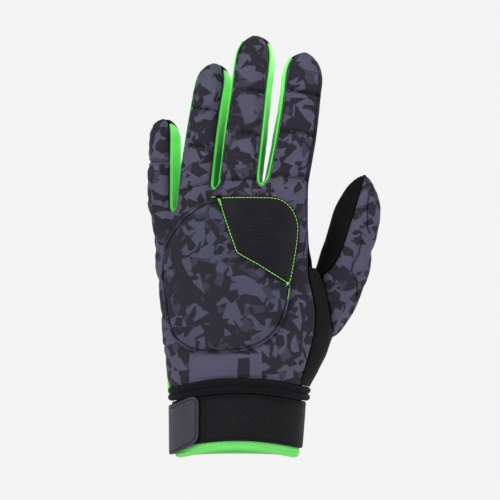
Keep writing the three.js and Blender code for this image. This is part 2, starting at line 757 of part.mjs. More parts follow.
// The lowest and highest share of the hand that the hole reaches
function holeSpan() {
  const depth = (share) => thumbRoom(deepestAngle(share), share);
  const shares = Array.from({ length: 50 }, (_, k) => 0.02 * k);
  const depths = shares.map(depth);
  const middle = shares[depths.indexOf(Math.min(...depths))];
  const end = (step) => {
    let share = middle;
    while (depth(share + step) < 0) share += step;
    return crossing(depth, share, share + step);
  };
  return { low: end(-0.01), high: end(0.01) };
}
const hole = holeSpan();
const HOLE_ROWS = 7;
const handRows = [
  0, hole.low / 2,
  ...Array.from({ length: HOLE_ROWS + 1 }, (_, k) => (
    mix(hole.low, hole.high, (1 - Math.cos((Math.PI * k) / HOLE_ROWS)) / 2))),
  ...[0.2, 0.4, 0.6, 0.8, 1].map((t) => mix(hole.high, 1, t)),
];
const gussetTop = handRows[2 + HOLE_ROWS + 1];

const backEnd = (backTop.at(-1).angle + palmTop[0].angle) / 2;
const ulnarTop = (backTop[0].angle + palmTop.at(-1).angle - 360) / 2;
const radialSeam = track([...RADIAL_SEAM, { up: 1, angle: backEnd }], 'up', 'angle');
const ulnarSeam = (share) => mix(ULNAR_SEAM, ulnarTop, smooth(share, 0.3, 1));
const lowMeet = thumbHole(hole.low);
const highMeet = thumbHole(hole.high);
// The palm's edge towards the thumb, and the gusset's
function palmEdge(share) {
  if (share < hole.low) return mix(GUSSET_SEAM, lowMeet.rear, share / hole.low);
  if (share <= hole.high) return thumbHole(share).rear;
  const t = (share - hole.high) / (gussetTop - hole.high);
  return t < 1 ? mix(highMeet.rear, radialSeam(gussetTop), t) : radialSeam(share);
}
function gussetEdge(share) {
  if (share < hole.low) return mix(GUSSET_SEAM, lowMeet.front, share / hole.low);
  if (share <= hole.high) return thumbHole(share).front;
  return palmEdge(share);
}

// A panel of the hand between two seams: its columns end on the hand's upper edge where it has one
function handPanelRows(rows, from, to, columns, top) {
  const first = top?.[0].angle;
  const span = top ? top.at(-1).angle - first : 1;
  return rows.map((share) => {
    if (share === 1 && top) return top;
    const left = from(share) + seamStep(handPoint, from(share), share);
    const right = to(share) - seamStep(handPoint, to(share), share);
    return Array.from({ length: columns + 1 }, (_, j) => {
      const even = j / columns;
      const t = top ? mix(even, (top[j].angle - first) / span, smooth(share, 0, 0.9)) : even;
      return handSample(mix(left, right, t), share);
    });
  });
}

function backPanel() {
  const shell = new Shell();
  backRows.forEach((rows) => shell.grid(rows));
  shell.grid(handPanelRows(handRows, ulnarSeam, radialSeam, backTop.length - 1, backTop));
  return shell.mesh('back_panel', printed);
}

function palmPanel() {
  const shell = new Shell();
  palmRows.forEach((rows) => shell.grid(rows));
  const end = (share) => 360 + ulnarSeam(share);
  shell.grid(handPanelRows(handRows, palmEdge, end, palmTop.length - 1, palmTop));
  return shell.mesh('palm_panel', black);
}

function gusset() {
  const rows = handRows.filter((share) => share < gussetTop);
  const samples = handPanelRows(rows, radialSeam, gussetEdge, 5);
  return new Shell().grid(samples).mesh('thumb_gusset', black);
}

// The thumb's panels start on the hand's surface, just inside its wall
const THUMB_SINK = 0.3;
function handDepth(place) {
  const up = (place.z - HAND_BOTTOM) / PALM_LENGTH;
  const angle = handAngle(place);
  const lifted = rise(angle) * (1 - up) ** 2;
  const section = handSection(up - lifted / PALM_LENGTH);
  const level = up - lifted / PALM_LENGTH;
  const outward = Math.abs(place.x - section.middle) / section.half;
  const offset = handCentre(place.x, level, section) - place.y;
  const backward = Math.abs(offset) / (offset > 0 ? section.back : section.palm);
  const size = (outward ** section.square + backward ** section.square) ** (1 / section.square);
  return (1 - size) * Math.min(section.half, section.palm);
}
function thumbStart(angle) {
  let [inside, outside] = [-0.3 * thumb.length, 0.7 * thumb.length];
  for (let k = 0; k < 24; k += 1) {
    const middle = (inside + outside) / 2;
    if (handDepth(thumb.point(angle, middle)) > THUMB_SINK) inside = middle;
    else outside = middle;
  }
  return outside;
}
function thumbSample(angle, share, options) {
  const start = thumbStart(angle);
  return thumb.sample(angle, start + share * (thumb.length - start), options);
}
const thumbStrip = track(THUMB_STRIP, 'along', 'angle');
const thumbSeam = track(THUMB_INNER_SEAM, 'along', 'angle');
// A seam's angle at one row of the panels, which start at another place at each angle
function thumbSeamAngle(seam, share) {
  let angle = seam(share);
  for (let k = 0; k < 12; k += 1) {
    angle = mix(angle, seam(mix(thumbStart(angle) / thumb.length, 1, share)), 0.6);
  }
  return angle;
}
const thumbRows = stations(thumb, THUMB_CHANNELS, true);

function thumbBack() {
  const INNER_COLUMNS = 3;
  const OUTER_COLUMNS = 5;
  const samples = thumbRows.map((share) => {
    const along = mix(thumbStart(THUMB_OUTER_SEAM / 2), thumb.length, share);
    const step = seamStep(thumb.surface, 0, along);
    const left = thumbSeamAngle(thumbSeam, share) + step;
    const right = THUMB_OUTER_SEAM - step;
    const strip = Math.min(Math.max(thumbSeamAngle(thumbStrip, share), left + 9), right - 12);
    const columns = [];
    for (let j = 0; j <= INNER_COLUMNS; j += 1) {
      columns.push(thumbSample(mix(left, strip, j / INNER_COLUMNS), share));
    }
    for (let j = 1; j <= OUTER_COLUMNS; j += 1) {
      const t = j / OUTER_COLUMNS;
      const crown = Math.sin(Math.PI * t ** 0.7) ** 0.6;
      const height = padding(share, THUMB_CHANNELS, THUMB_PAD_RISE) * (j < OUTER_COLUMNS ? crown : 0);
      columns.push(thumbSample(mix(strip, right, t), share, { rise: height }));
    }
    return columns;
  });
  return new Shell().grid(samples).mesh('thumb_back', printed);
}

function thumbPalm() {
  const columns = 7;
  const samples = stations(thumb, THUMB_CHANNELS, false).map((share) => {
    const along = mix(thumbStart(THUMB_OUTER_SEAM * 2), thumb.length, share);
    const step = seamStep(thumb.surface, 0, along);
    const right = THUMB_OUTER_SEAM + step;
    const left = 360 + thumbSeamAngle(thumbSeam, share) - step;
    return Array.from({ length: columns + 1 }, (_, j) => thumbSample(mix(right, left, j / columns), share));
  });
  return new Shell().grid(samples).mesh('thumb_palm', black);
}

// A place on the back of the hand, given across and up as shares
function onBack(across, up) {
  const x = (knuckleLeft + knuckleRight) / 2 + across * knuckleWidth;
  const z = HAND_BOTTOM + up * PALM_LENGTH;
  let share = up;
  let [low, high] = [-85, 85];
  for (let k = 0; k < 20; k += 1) {
    const angle = (low + high) / 2;
    const place = handPoint(angle, share);
    share += (z - place.z) / PALM_LENGTH;
    if (place.x < x) low = angle;
    else high = angle;
  }
  return { angle: (low + high) / 2, share };
}

// A closed outline through the rows of a table: a corner keeps its turn, other points are smoothed
function outlinePoints(table, perSide) {
  const points = table.map(({ across, up }) => new THREE.Vector3(across, up, 0));
  if (!table.some((row) => row.corner)) {
    const curve = new THREE.CatmullRomCurve3(points, true, 'centripetal');
    return curve.getSpacedPoints(points.length * perSide).slice(0, -1);
  }
  const starts = table.flatMap((row, k) => (row.corner ? [k] : []));
  return starts.flatMap((start, k) => {
    const end = starts[(k + 1) % starts.length] + (k + 1 < starts.length ? 0 : table.length);
    const side = Array.from({ length: end - start + 1 }, (_, j) => points[(start + j) % table.length]);
    return new THREE.CatmullRomCurve3(side, false, 'centripetal').getSpacedPoints((end - start) * perSide).slice(0, -1);
  });
}
function distanceTo(outline, across, up) {
  const place = new THREE.Vector3(across * knuckleWidth, up * PALM_LENGTH, 0);
  const scaled = (point) => new THREE.Vector3(point.x * knuckleWidth, point.y * PALM_LENGTH, 0);
  return outline.reduce((least, point, k) => {
    const line = new THREE.Line3(scaled(point), scaled(outline[(k + 1) % outline.length]));
    return Math.min(least, line.closestPointToPoint(place, true, new THREE.Vector3()).distanceTo(place));
  }, Infinity);
}

// A thin piece that lies on the back of the hand: rings that shrink from its outline to its centre
function overlay(name, surface, outline, centre, { under, thick }) {
  const rings = [1, 0.93, 0.8, 0.5, 0.2];
  const at = (across, up) => {
    const { angle, share } = onBack(across, up);
    const lift = under(across, up);
    return handSample(angle, share, { lift, rise: thick(across, up), wall: 0 });
  };
  const samples = rings.map((ring) => {
    const row = outline.map((point) => at(mix(centre.x, point.x, ring), mix(centre.y, point.y, ring)));
    return [...row, row[0]];
  });
  const shell = new Shell().grid(samples);
  const middle = shell.vertex(at(centre.x, centre.y));
  const last = samples.at(-1).map((sample) => shell.vertex(sample));
  last.slice(0, -1).forEach((id, k) => shell.face([id, last[k + 1], middle]));
  return shell.mesh(name, surface);
}

// Whether a place lies inside an outline
function within(outline, across, up) {
  return outline.reduce((inside, point, k) => {
    const next = outline[(k + 1) % outline.length];
    if ((point.y > up) === (next.y > up)) return inside;
    const crossing = mix(point.x, next.x, (up - point.y) / (next.y - point.y));
    return across < crossing ? !inside : inside;
  }, false);
}

const padOutline = outlinePoints(PAD_OUTLINE, 1.5);
const PAD_EDGE = 1;
const PAD_GAP = 0.9;
const roundOver = (share) => Math.sqrt(1 - (1 - Math.min(Math.max(share, 0), 1)) ** 2);
function padHeight(across, up) {
  return PAD_EDGE + (PAD_RISE - PAD_EDGE) * roundOver(distanceTo(padOutline, across, up) / PAD_ROLL);
}
// How high the patch must lie to pass over the pad: it comes down to the hand beyond the pad's edge
const COVER_ROLL = 4;
function padCover(across, up) {
  const distance = distanceTo(padOutline, across, up) * (within(padOutline, across, up) ? 1 : -1);
  return (PAD_GAP + PAD_RISE) * roundOver((distance + COVER_ROLL) / (PAD_ROLL + COVER_ROLL));
}
function backPad() {
  return overlay('back_pad', printed, padOutline, new THREE.Vector2(-0.02, 0.53), {
    under: () => PAD_GAP,
    thick: padHeight,
  });
}
const patchOutline = outlinePoints(PATCH_OUTLINE, 2).reverse();
function knucklePatch() {
  return overlay('knuckle_patch', leather, patchOutline, new THREE.Vector2(0.22, 0.75), {
    under: (across, up) => PAD_GAP + padCover(across, up),
    thick: () => LEATHER_WALL,
  });
}

// Rings round the wrist: a closed profile of offsets from the cuff's outside and heights
function wristPoint(angle, offset, height) {
  const share = height / HAND_BOTTOM;
  const turn = rad(angle);
  return new THREE.Vector3(
    WRIST_OFFSET * share + (mix(OPENING_WIDTH, WRIST_WIDTH, share) / 2 + offset) * Math.sin(turn),
    -(mix(OPENING_DEPTH, WRIST_DEPTH, share) / 2 + offset) * Math.cos(turn),
    height + rise(angle),
  );
}
function wristRing(name, surface, profile, segments = 36) {
  const points = [];
  const faces = [];
  for (let k = 0; k < segments; k += 1) {
    const angle = (360 * k) / segments;
    profile.forEach(([offset, height]) => points.push(wristPoint(angle, offset, height)));
    profile.forEach((_, j) => {
      const next = (j + 1) % profile.length;
      const ahead = ((k + 1) % segments) * profile.length;
      const here = k * profile.length;
      faces.push(here + j, ahead + j, ahead + next, here + j, ahead + next, here + next);
    });
  }
  const geometry = new THREE.BufferGeometry().setFromPoints(points);
  geometry.setIndex(faces);
  geometry.computeVertexNormals();
  const made = new THREE.Mesh(geometry, surface);
  made.name = name;
  return made;
}
// A rounded profile, going up its outer side
function rollProfile(offset, height, thickness, tall, corners = 7) {
  return Array.from({ length: corners }, (_, k) => {
    const turn = (2 * Math.PI * k) / corners;
    return [offset + (thickness / 2) * Math.cos(turn), height + (tall / 2) * Math.sin(turn)];
  });
}
function boxProfile(inside, outside, low, high, bevel) {
  return [
    [inside, low], [outside - bevel, low], [outside, low + bevel],
    [outside, high - bevel], [outside - bevel, high], [inside, high],
  ];
}
const rollOffset = OVERLAY_GAP + ROLL_THICKNESS / 2;
const hemOffset = (HEM_THICKNESS - NEOPRENE_WALL) / 2 - HEM_THICKNESS / 2;

function cuff() {
  return wristRing('cuff', black, boxProfile(-NEOPRENE_WALL, 0, HEM_HEIGHT + SEAM_GAP, CUFF_TOP, 0.5));
}
function hemBinding() {
  return wristRing('hem_binding', green, rollProfile(hemOffset, HEM_HEIGHT / 2, HEM_THICKNESS, HEM_HEIGHT, 8));
}
function wristRoll(name, height) {
  return wristRing(name, black, rollProfile(rollOffset, height, ROLL_THICKNESS, ROLL_HEIGHT));
}
function strap() {
  const outside = OVERLAY_GAP + STRAP_THICKNESS;
  return wristRing('wrist_strap', elastic, boxProfile(OVERLAY_GAP, outside, STRAP_BOTTOM, STRAP_TOP, 0.6));
}

// The tab lies on the strap, with rounded corners at its front end
function strapTab() {
  const rows = 4;
  const columns = 12;
  const inside = 2 * OVERLAY_GAP + STRAP_THICKNESS;
  const samples = Array.from({ length: rows + 1 }, (_, i) => (
    Array.from({ length: columns + 1 }, (__, j) => {
      const t = 1 - (1 - j / columns) ** 2;
      const angle = mix(TAB_END, TAB_START, t);
      const fromEnd = ((1 - t) * rad(TAB_START - TAB_END) * (WRIST_WIDTH + WRIST_DEPTH)) / 4;
      const corner = Math.max(1 - fromEnd / TAB_CORNER, 0);
      const half = TAB_HEIGHT / 2 - TAB_CORNER * (1 - Math.sqrt(1 - Math.min(corner, 1) ** 2));
      const middle = (STRAP_BOTTOM + STRAP_TOP) / 2 - TAB_DROP * smooth(1 - t, 0, 0.35);
      const height = middle + half * ((2 * i) / rows - 1);
      return {
        outer: wristPoint(angle, inside + LEATHER_WALL, height),
        inner: wristPoint(angle, inside, height),
      };
    })));
  return new Shell().grid(samples).mesh('strap_tab', tabLeather);
}

// A folded green loop sewn in at the wrist seam on the little finger's side
function pullTab() {
  const rows = 5;
  const columns = 2;
  const at = (t, i) => {
    const share = (i / rows) * (PULL_HEIGHT / PALM_LENGTH) + 0.015;
    const angle = ULNAR_SEAM - 3 - (PULL_WIDTH * (1 - t)) * 1.2;
    return { angle, share };
  };
  const samples = Array.from({ length: rows + 1 }, (_, i) => (
    Array.from({ length: columns + 1 }, (__, j) => {
      const { angle, share } = at(j / columns, i);
      return handSample(angle, share, { lift: OVERLAY_GAP, rise: PULL_THICKNESS, wall: 0 });
    })));
  return new Shell().grid(samples).mesh('pull_tab', green);
}

const glove = new THREE.Group();
glove.add(
  backPanel(), palmPanel(), gusset(), thumbBack(), thumbPalm(),
  crotches[0].strip('side_strip_little_ring'),
  crotches[1].strip('side_strip_ring_middle'),
  crotches[2].strip('side_strip_middle_index'),
  backPad(), knucklePatch(),
  cuff(), hemBinding(),
  wristRoll('wrist_roll_lower', LOWER_ROLL), wristRoll('wrist_roll_upper', UPPER_ROLL),
  strap(), strapTab(), pullTab(),
);

export default glove;
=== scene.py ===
import math

import bpy
import numpy as np
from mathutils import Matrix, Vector, noise
from mathutils.bvhtree import BVHTree
from mathutils.kdtree import KDTree


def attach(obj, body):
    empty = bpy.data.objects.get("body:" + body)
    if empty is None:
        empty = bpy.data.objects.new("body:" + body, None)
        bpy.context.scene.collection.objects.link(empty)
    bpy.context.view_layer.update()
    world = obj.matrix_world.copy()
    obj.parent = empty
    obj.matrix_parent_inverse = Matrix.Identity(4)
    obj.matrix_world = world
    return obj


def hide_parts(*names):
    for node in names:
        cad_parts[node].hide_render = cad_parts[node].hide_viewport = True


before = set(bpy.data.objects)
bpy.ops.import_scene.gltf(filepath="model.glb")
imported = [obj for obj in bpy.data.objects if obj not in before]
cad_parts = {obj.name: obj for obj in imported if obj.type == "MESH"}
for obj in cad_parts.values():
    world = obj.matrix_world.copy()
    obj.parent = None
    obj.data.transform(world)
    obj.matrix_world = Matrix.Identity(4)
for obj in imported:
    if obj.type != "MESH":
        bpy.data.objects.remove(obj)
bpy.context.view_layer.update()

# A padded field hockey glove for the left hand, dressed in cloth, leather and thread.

MM = 0.001
MM_PER_PIXEL = 0.57          # the picture's scale
PICTURE_ORIGIN = (237, 457)  # where the middle of the wrist opening is on the picture
CUFF_TOP = 43 * MM           # below this the cuff covers the hand's panels
WRIST_RISE = 6.2 * MM        # how much higher the wrist's bands run over the back of the hand
WRIST_RADIUS = 33 * MM
CLOTH = 1.2 * MM             # the walls of the panels
SUEDE = 1.4 * MM

# The fingers, as the pattern cuts them, in millimetres and degrees.
FINGERS = {
    "little": {"base": (-41.46, 10.3, 142.9), "length": 50.8, "lean": 0.4, "turn": -38, "curl": 8, "bow": 0,
               "half": 9.4},
    "ring": {"base": (-22.3, 2.3, 148.6), "length": 77.2, "lean": 8.1, "turn": -22, "curl": 10, "bow": -0.8,
             "half": 11.5},
    "middle": {"base": (1.9, -3.0, 156.9), "length": 84.2, "lean": 6.8, "turn": -12, "curl": 8, "bow": 0,
               "half": 12.7},
    "index": {"base": (28.6, -4.85, 157.75), "length": 73.4, "lean": 7.7, "turn": 1, "curl": 6, "bow": 1.5,
              "half": 12.9},
}
# Where the padding is stitched down, as shares of each finger's length.
CHANNELS = {"little": (0.5,), "ring": (0.36, 0.64), "middle": (0.32, 0.61), "index": (0.36, 0.675)}


# Working by hand: picking a piece and its faces, and search trees

def pick(piece):
    """Leaves one piece selected and active, in object mode."""
    if bpy.context.object and bpy.context.object.mode != "OBJECT":
        bpy.ops.object.mode_set(mode="OBJECT")
    bpy.ops.object.select_all(action="DESELECT")
    piece.hide_viewport = False
    piece.select_set(True)
    bpy.context.view_layer.objects.active = piece
    return piece


def edit_faces(selected):
    """Enters edit mode on faces, with all of them selected, none, or those that are already."""
    bpy.ops.object.mode_set(mode="EDIT")
    bpy.ops.mesh.select_mode(type="FACE")
    if selected:
        bpy.ops.mesh.select_all(action=selected)


def leave_edit():
    bpy.ops.object.mode_set(mode="OBJECT")


def pick_faces(mesh, wanted):
    """Selects the faces that pass a test, and no others."""
    edit_faces("DESELECT")
    leave_edit()
    for polygon in mesh.polygons:
        polygon.select = wanted(polygon)


def tree_of_places(places):
    """A search tree over places, which finds the number of the nearest."""
    tree = KDTree(len(places))
    for i, place in enumerate(places):
        tree.insert(place, i)
    tree.balance()
    return tree


def apply_all(piece):
    """Makes every modifier of a piece part of its mesh."""
    pick(piece)
    for modifier in list(piece.modifiers):
        bpy.ops.object.modifier_apply(modifier=modifier.name)
    return piece


def keep_corners(piece, degrees=25):
    """Marks the corners of an outline, so that rounding leaves them sharp."""
    mesh = piece.data
    marks = np.zeros(len(mesh.vertices), np.float32)
    for loop in rim_loops(mesh):
        for before, here, after in zip(loop[-1:] + loop[:-1], loop, loop[1:] + loop[:1]):
            first = mesh.vertices[here].co - mesh.vertices[before].co
            second = mesh.vertices[after].co - mesh.vertices[here].co
            if first.length > 1e-7 and second.length > 1e-7 and first.angle(second) > math.radians(degrees):
                marks[here] = 1
    held = mesh.attributes.get("crease_vert") or mesh.attributes.new("crease_vert", "FLOAT", "POINT")
    held.data.foreach_set("value", marks)
    return piece


def subdivide(piece, levels):
    """Rounds a piece by subdivision, keeping its seams where they are."""
    smoother = piece.modifiers.new("rounding", "SUBSURF")
    smoother.levels = levels
    smoother.render_levels = levels
    smoother.boundary_smooth = "PRESERVE_CORNERS"
    return apply_all(piece)


def thicken(piece, wall):
    """Gives a sheet its wall, inwards from the face that shows."""
    lining = piece.modifiers.new("wall", "SOLIDIFY")
    lining.thickness = wall
    lining.offset = -1
    lining.use_even_offset = False
    return apply_all(piece)


def shade(piece, degrees):
    pick(piece)
    bpy.ops.object.shade_smooth_by_angle(angle=math.radians(degrees))
    return piece


def points_of(mesh):
    points = np.empty(len(mesh.vertices) * 3)
    mesh.vertices.foreach_get("co", points)
    return points.reshape(-1, 3)


def normals_of(mesh):
    normals = np.empty(len(mesh.vertices) * 3)
    mesh.vertices.foreach_get("normal", normals)
    return normals.reshape(-1, 3)


def set_points(mesh, points):
    mesh.vertices.foreach_set("co", points.ravel())
    mesh.update()


def raise_cloth(piece, rise):
    """Moves each point straight out of the cloth, by its own amount."""
    mesh = piece.data
    set_points(mesh, points_of(mesh) + normals_of(mesh) * rise[:, None])
    return piece


def mark(piece, name, values):
    """Keeps one number for each point of a piece, for its material to read."""
    layer = piece.data.attributes.new(name, "FLOAT", "POINT")
    layer.data.foreach_set("value", np.asarray(values, np.float32))
    return piece


def ease(values, low, high):
    """From 0 at low to 1 at high, without a step."""
    share = np.clip((values - low) / (high - low), 0, 1)
    return share * share * (3 - 2 * share)


# Taking the outer face of a packed panel as a sheet

def merged_copy(node, name):
    """A copy of a packed panel's mesh with its doubles merged, as a new piece."""
    piece = bpy.data.objects.new(name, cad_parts[node].data.copy())
    piece.data.materials.clear()
    bpy.context.scene.collection.objects.link(piece)
    pick(piece)
    edit_faces("SELECT")
    bpy.ops.mesh.remove_doubles(threshold=1e-6)
    leave_edit()
    return piece


def surroundings():
    """One search tree over every packed panel."""
    points, faces = [], []
    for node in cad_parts.values():
        first = len(points)
        points.extend(vertex.co.copy() for vertex in node.data.vertices)
        faces.extend([first + i for i in polygon.vertices] for polygon in node.data.polygons)
    return BVHTree.FromPolygons(points, faces)


ALL_PANELS = surroundings()


def outer_faces(mesh, wall):
    """The faces on the side of a walled panel that shows. Faces with the wall's other side behind them are
    flooded into groups, with the rim as a barrier, and most sight lines leave from the fronts."""
    tree = BVHTree.FromPolygons([v.co for v in mesh.vertices], [list(p.vertices) for p in mesh.polygons])
    centres = [Vector(p.center) for p in mesh.polygons]
    normals = [Vector(p.normal) for p in mesh.polygons]
    partner = []
    for centre, normal in zip(centres, normals):
        hit = tree.ray_cast(centre - normal * 1e-5, -normal, wall * 1.75)
        partner.append(hit[2])
    by_edge = {}
    for polygon in mesh.polygons:
        for key in polygon.edge_keys:
            by_edge.setdefault(key, []).append(polygon.index)
    beside = [[] for _ in mesh.polygons]
    for pair in by_edge.values():
        if len(pair) == 2:
            beside[pair[0]].append(pair[1])
            beside[pair[1]].append(pair[0])
    group = [None] * len(mesh.polygons)
    groups = []
    for start in range(len(group)):
        if partner[start] is None or group[start] is not None:
            continue
        group[start] = len(groups)
        members, waiting = [], [start]
        while waiting:
            face = waiting.pop()
            members.append(face)
            for other in beside[face]:
                if partner[other] is not None and group[other] is None:
                    if normals[face].dot(normals[other]) > 0.35:
                        group[other] = group[face]
                        waiting.append(other)
        groups.append(members)
    areas = [sum(mesh.polygons[f].area for f in members) for members in groups]
    small = 0.02 * sum(areas)
    broad = [k for k in range(len(groups)) if areas[k] >= small]
    seen, behind = {}, {}
    for k in broad:
        seen[k] = 0.0
        behind[k] = {}
        for face in groups[k]:
            start = centres[face] + normals[face] * 2e-5
            if ALL_PANELS.ray_cast(start, normals[face], 0.5)[0] is None:
                seen[k] += mesh.polygons[face].area
            other = group[partner[face]]
            if other in broad and other != k:
                behind[k][other] = behind[k].get(other, 0) + mesh.polygons[face].area
    front = {}
    for k in sorted(broad, key=lambda k: -seen[k]):
        backs = sorted(behind[k], key=lambda other: -behind[k][other])
        if k not in front:
            front[k] = not (backs and front.get(backs[0], False))
        for other in backs[:1]:
            front.setdefault(other, not front[k])
    kept = set()
    for k in broad:
        if front[k]:
            kept.update(groups[k])
    loose = {f for f in range(len(group)) if group[f] is None or areas[group[f]] < small}
    grown = True
    while grown:
        grown = [f for f in loose if any(o in kept and normals[f].dot(normals[o]) > 0.75 for o in beside[f])]
        kept.update(grown)
        loose.difference_update(grown)
    return kept


def outer_sheet(node, name, wall):
    """The side of a packed panel that shows, as an open sheet of quads."""
    piece = merged_copy(node, name)
    kept = outer_faces(piece.data, wall)
    pick_faces(piece.data, lambda polygon: polygon.index not in kept)
    edit_faces(None)
    bpy.ops.mesh.delete(type="FACE")
    bpy.ops.mesh.select_all(action="SELECT")
    bpy.ops.mesh.tris_convert_to_quads(face_threshold=math.radians(50), shape_threshold=math.radians(60))
    leave_edit()
    return piece


def rounded_sheet(node, name, wall, levels, crisp=False):
    """The side of a packed panel that shows, rounded. A crisp one keeps its outline's corners."""
    piece = outer_sheet(node, name, wall)
    if crisp:
        keep_corners(piece)
    return subdivide(piece, levels)


def closed_copy(node, name, levels):
    """A rounded copy of a closed soft form."""
    piece = merged_copy(node, name)
    edit_faces("SELECT")
    bpy.ops.mesh.tris_convert_to_quads(face_threshold=math.radians(40), shape_threshold=math.radians(60))
    leave_edit()
    return subdivide(piece, levels)


# Shaping the cloth: tucked seams, stitched grooves and soft folds, with sizes in millimetres

def rim_loops(mesh):
    """The open edges of a sheet, as closed runs of vertex numbers."""
    count = {}
    for polygon in mesh.polygons:
        for key in polygon.edge_keys:
            count[key] = count.get(key, 0) + 1
    beside = {}
    for (a, b), uses in count.items():
        if uses == 1:
            beside.setdefault(a, []).append(b)
            beside.setdefault(b, []).append(a)
    loops, left = [], set(beside)
    while left:
        start = min(left)
        loop, last, here = [start], None, start
        left.discard(start)
        while True:
            onward = [v for v in beside[here] if v != last and v in left]
            if not onward:
                break
            last, here = here, onward[0]
            left.discard(here)
            loop.append(here)
        loops.append(loop)
    return loops


def rim_distance(mesh, points):
    """How far each point of a sheet is from its open edge."""
    rim = []
    for loop in rim_loops(mesh):
        for a, b in zip(loop, loop[1:] + loop[:1]):
            for step in range(3):
                rim.append(points[a] + (points[b] - points[a]) * step / 3)
    tree = tree_of_places(rim)
    return np.array([tree.find(place)[2] for place in points])


def tuck(piece, radius, depth):
    """Rolls a sheet's edge down into its seam, except where the cuff covers it."""
    points = points_of(piece.data)
    heights = points[:, 2]
    near = np.clip(1 - rim_distance(piece.data, points) / (radius * MM), 0, 1)
    drop = depth * MM * (1 - np.sqrt(1 - near ** 2))
    if heights.max() > 60 * MM:
        drop = drop * np.clip((heights - CUFF_TOP) / (5 * MM), 0, 1)
    return raise_cloth(piece, -drop)


def soft_noise(points, size, seed):
    """Smooth noise from -1 to 1 with bumps of about that size, in metres."""
    shift = Vector((seed * 3.1, seed * 1.7, seed * 2.3))
    return np.array([noise.noise(Vector(place) / size + shift) for place in points])


def ripple(piece, height, size, seed):
    """Lets cloth rise and fall in soft folds, fading out at its seams."""
    points = points_of(piece.data)
    fade = np.clip(rim_distance(piece.data, points) / (3 * MM), 0, 1)
    return raise_cloth(piece, height * MM * soft_noise(points, size * MM, seed) * fade)


class Lines:
    """Seam lines on one piece, with the way along each, ready to be found from any point."""

    def __init__(self, lines):
        self.places, self.along = [], []
        for line in lines:
            run = 0.0
            for i, place in enumerate(line):
                if i:
                    run += (Vector(place) - Vector(line[i - 1])).length
                self.places.append(Vector(place))
                self.along.append(run)
        self.tree = tree_of_places(self.places)

    def nearest(self, place):
        _, number, far = self.tree.find(place)
        return far, self.along[number]


def press_seams(piece, lines, width, depth, pucker, pitch, reach):
    """Presses stitched grooves into a sheet, and gathers the cloth beside them into small folds."""
    width, depth, pucker, pitch, reach = (size * MM for size in (width, depth, pucker, pitch, reach))
    seams = Lines(lines)
    points = points_of(piece.data)
    normals = normals_of(piece.data)
    for i, place in enumerate(points):
        far, along = seams.nearest(place)
        if far > reach:
            continue
        groove = depth * math.exp(-((far / width) ** 2))
        drift = 1.6 * noise.noise(Vector(place) * 130)
        strength = 0.6 + 0.6 * noise.noise(Vector(place) * 60)
        fading = math.exp(-far / (reach * 0.35))
        folds = pucker * strength * math.cos(along / pitch * math.tau + drift) * fading
        points[i] = place + normals[i] * (folds * min(1, far / width) - groove)
    set_points(piece.data, points)
    return piece


def puff(piece, lines, height, reach):
    """Swells the padding between the seams."""
    height, reach = height * MM, reach * MM
    seams = Lines(lines)
    points = points_of(piece.data)
    normals = normals_of(piece.data)
    rim = rim_distance(piece.data, points)
    for i, place in enumerate(points):
        far = min(seams.nearest(place)[0], rim[i])
        share = min(1, far / reach)
        points[i] = place + normals[i] * height * math.sin(share * math.pi / 2)
    set_points(piece.data, points)
    return piece


def fill(piece, lines, pressure, slack, cap):
    """Fills a padded sheet in a short cloth run, worked at ten times size. Its edge and its sewn lines are
    held, and the cloth between them is cut a little too large, so the air lifts it and it folds there."""
    seams = Lines(lines)
    mesh = piece.data
    start = points_of(mesh)
    rim = rim_distance(mesh, start)
    held = piece.vertex_groups.new(name="sewn_down")
    for i, place in enumerate(start):
        far = min(seams.nearest(place)[0] - 0.3 * MM, rim[i])
        if far < 1.2 * MM:
            held.add([i], min(1.0, max(0.0, 1.4 - far / MM)), "REPLACE")
    set_points(mesh, start * 10)
    cloth = piece.modifiers.new("filling", "CLOTH")
    cloth.settings.quality = 5
    cloth.settings.mass = 0.01
    cloth.settings.tension_stiffness = 12
    cloth.settings.compression_stiffness = 12
    cloth.settings.shear_stiffness = 4
    cloth.settings.bending_stiffness = 0.4
    cloth.settings.shrink_min = -slack
    cloth.settings.use_pressure = True
    cloth.settings.uniform_pressure_force = pressure
    cloth.settings.vertex_group_mass = held.name
    cloth.settings.effector_weights.gravity = 0
    cloth.collision_settings.use_collision = False
    cloth.collision_settings.use_self_collision = False
    scene = bpy.context.scene
    for number in range(1, 21):
        scene.frame_set(number)
    ready = piece.evaluated_get(bpy.context.evaluated_depsgraph_get())
    moved = points_of(ready.data) / 10 - start
    piece.modifiers.clear()
    scene.frame_set(1)
    far = np.linalg.norm(moved, axis=1)
    moved = moved * np.minimum(1, cap / np.maximum(far, 1e-9))[:, None]
    set_points(mesh, start + moved)
    piece.vertex_groups.clear()
    return piece


# Thread: one bead of thread, copied along a line, with its sizes in millimetres

def thread_bead():
    """A short bulging length of thread along X, one unit long."""
    bpy.ops.object.select_all(action="DESELECT")
    bpy.ops.mesh.primitive_cylinder_add(vertices=6, radius=0.5, depth=1, rotation=(0, math.pi / 2, 0))
    bead = bpy.context.object
    bpy.ops.object.transform_apply(location=True, rotation=True, scale=True)
    pick_faces(bead.data, lambda polygon: abs(polygon.normal.x) > 0.9)
    edit_faces(None)
    bpy.ops.mesh.inset(thickness=0.2, depth=0.12, use_individual=True)
    leave_edit()
    mesh = bead.data
    bpy.data.objects.remove(bead)
    return mesh


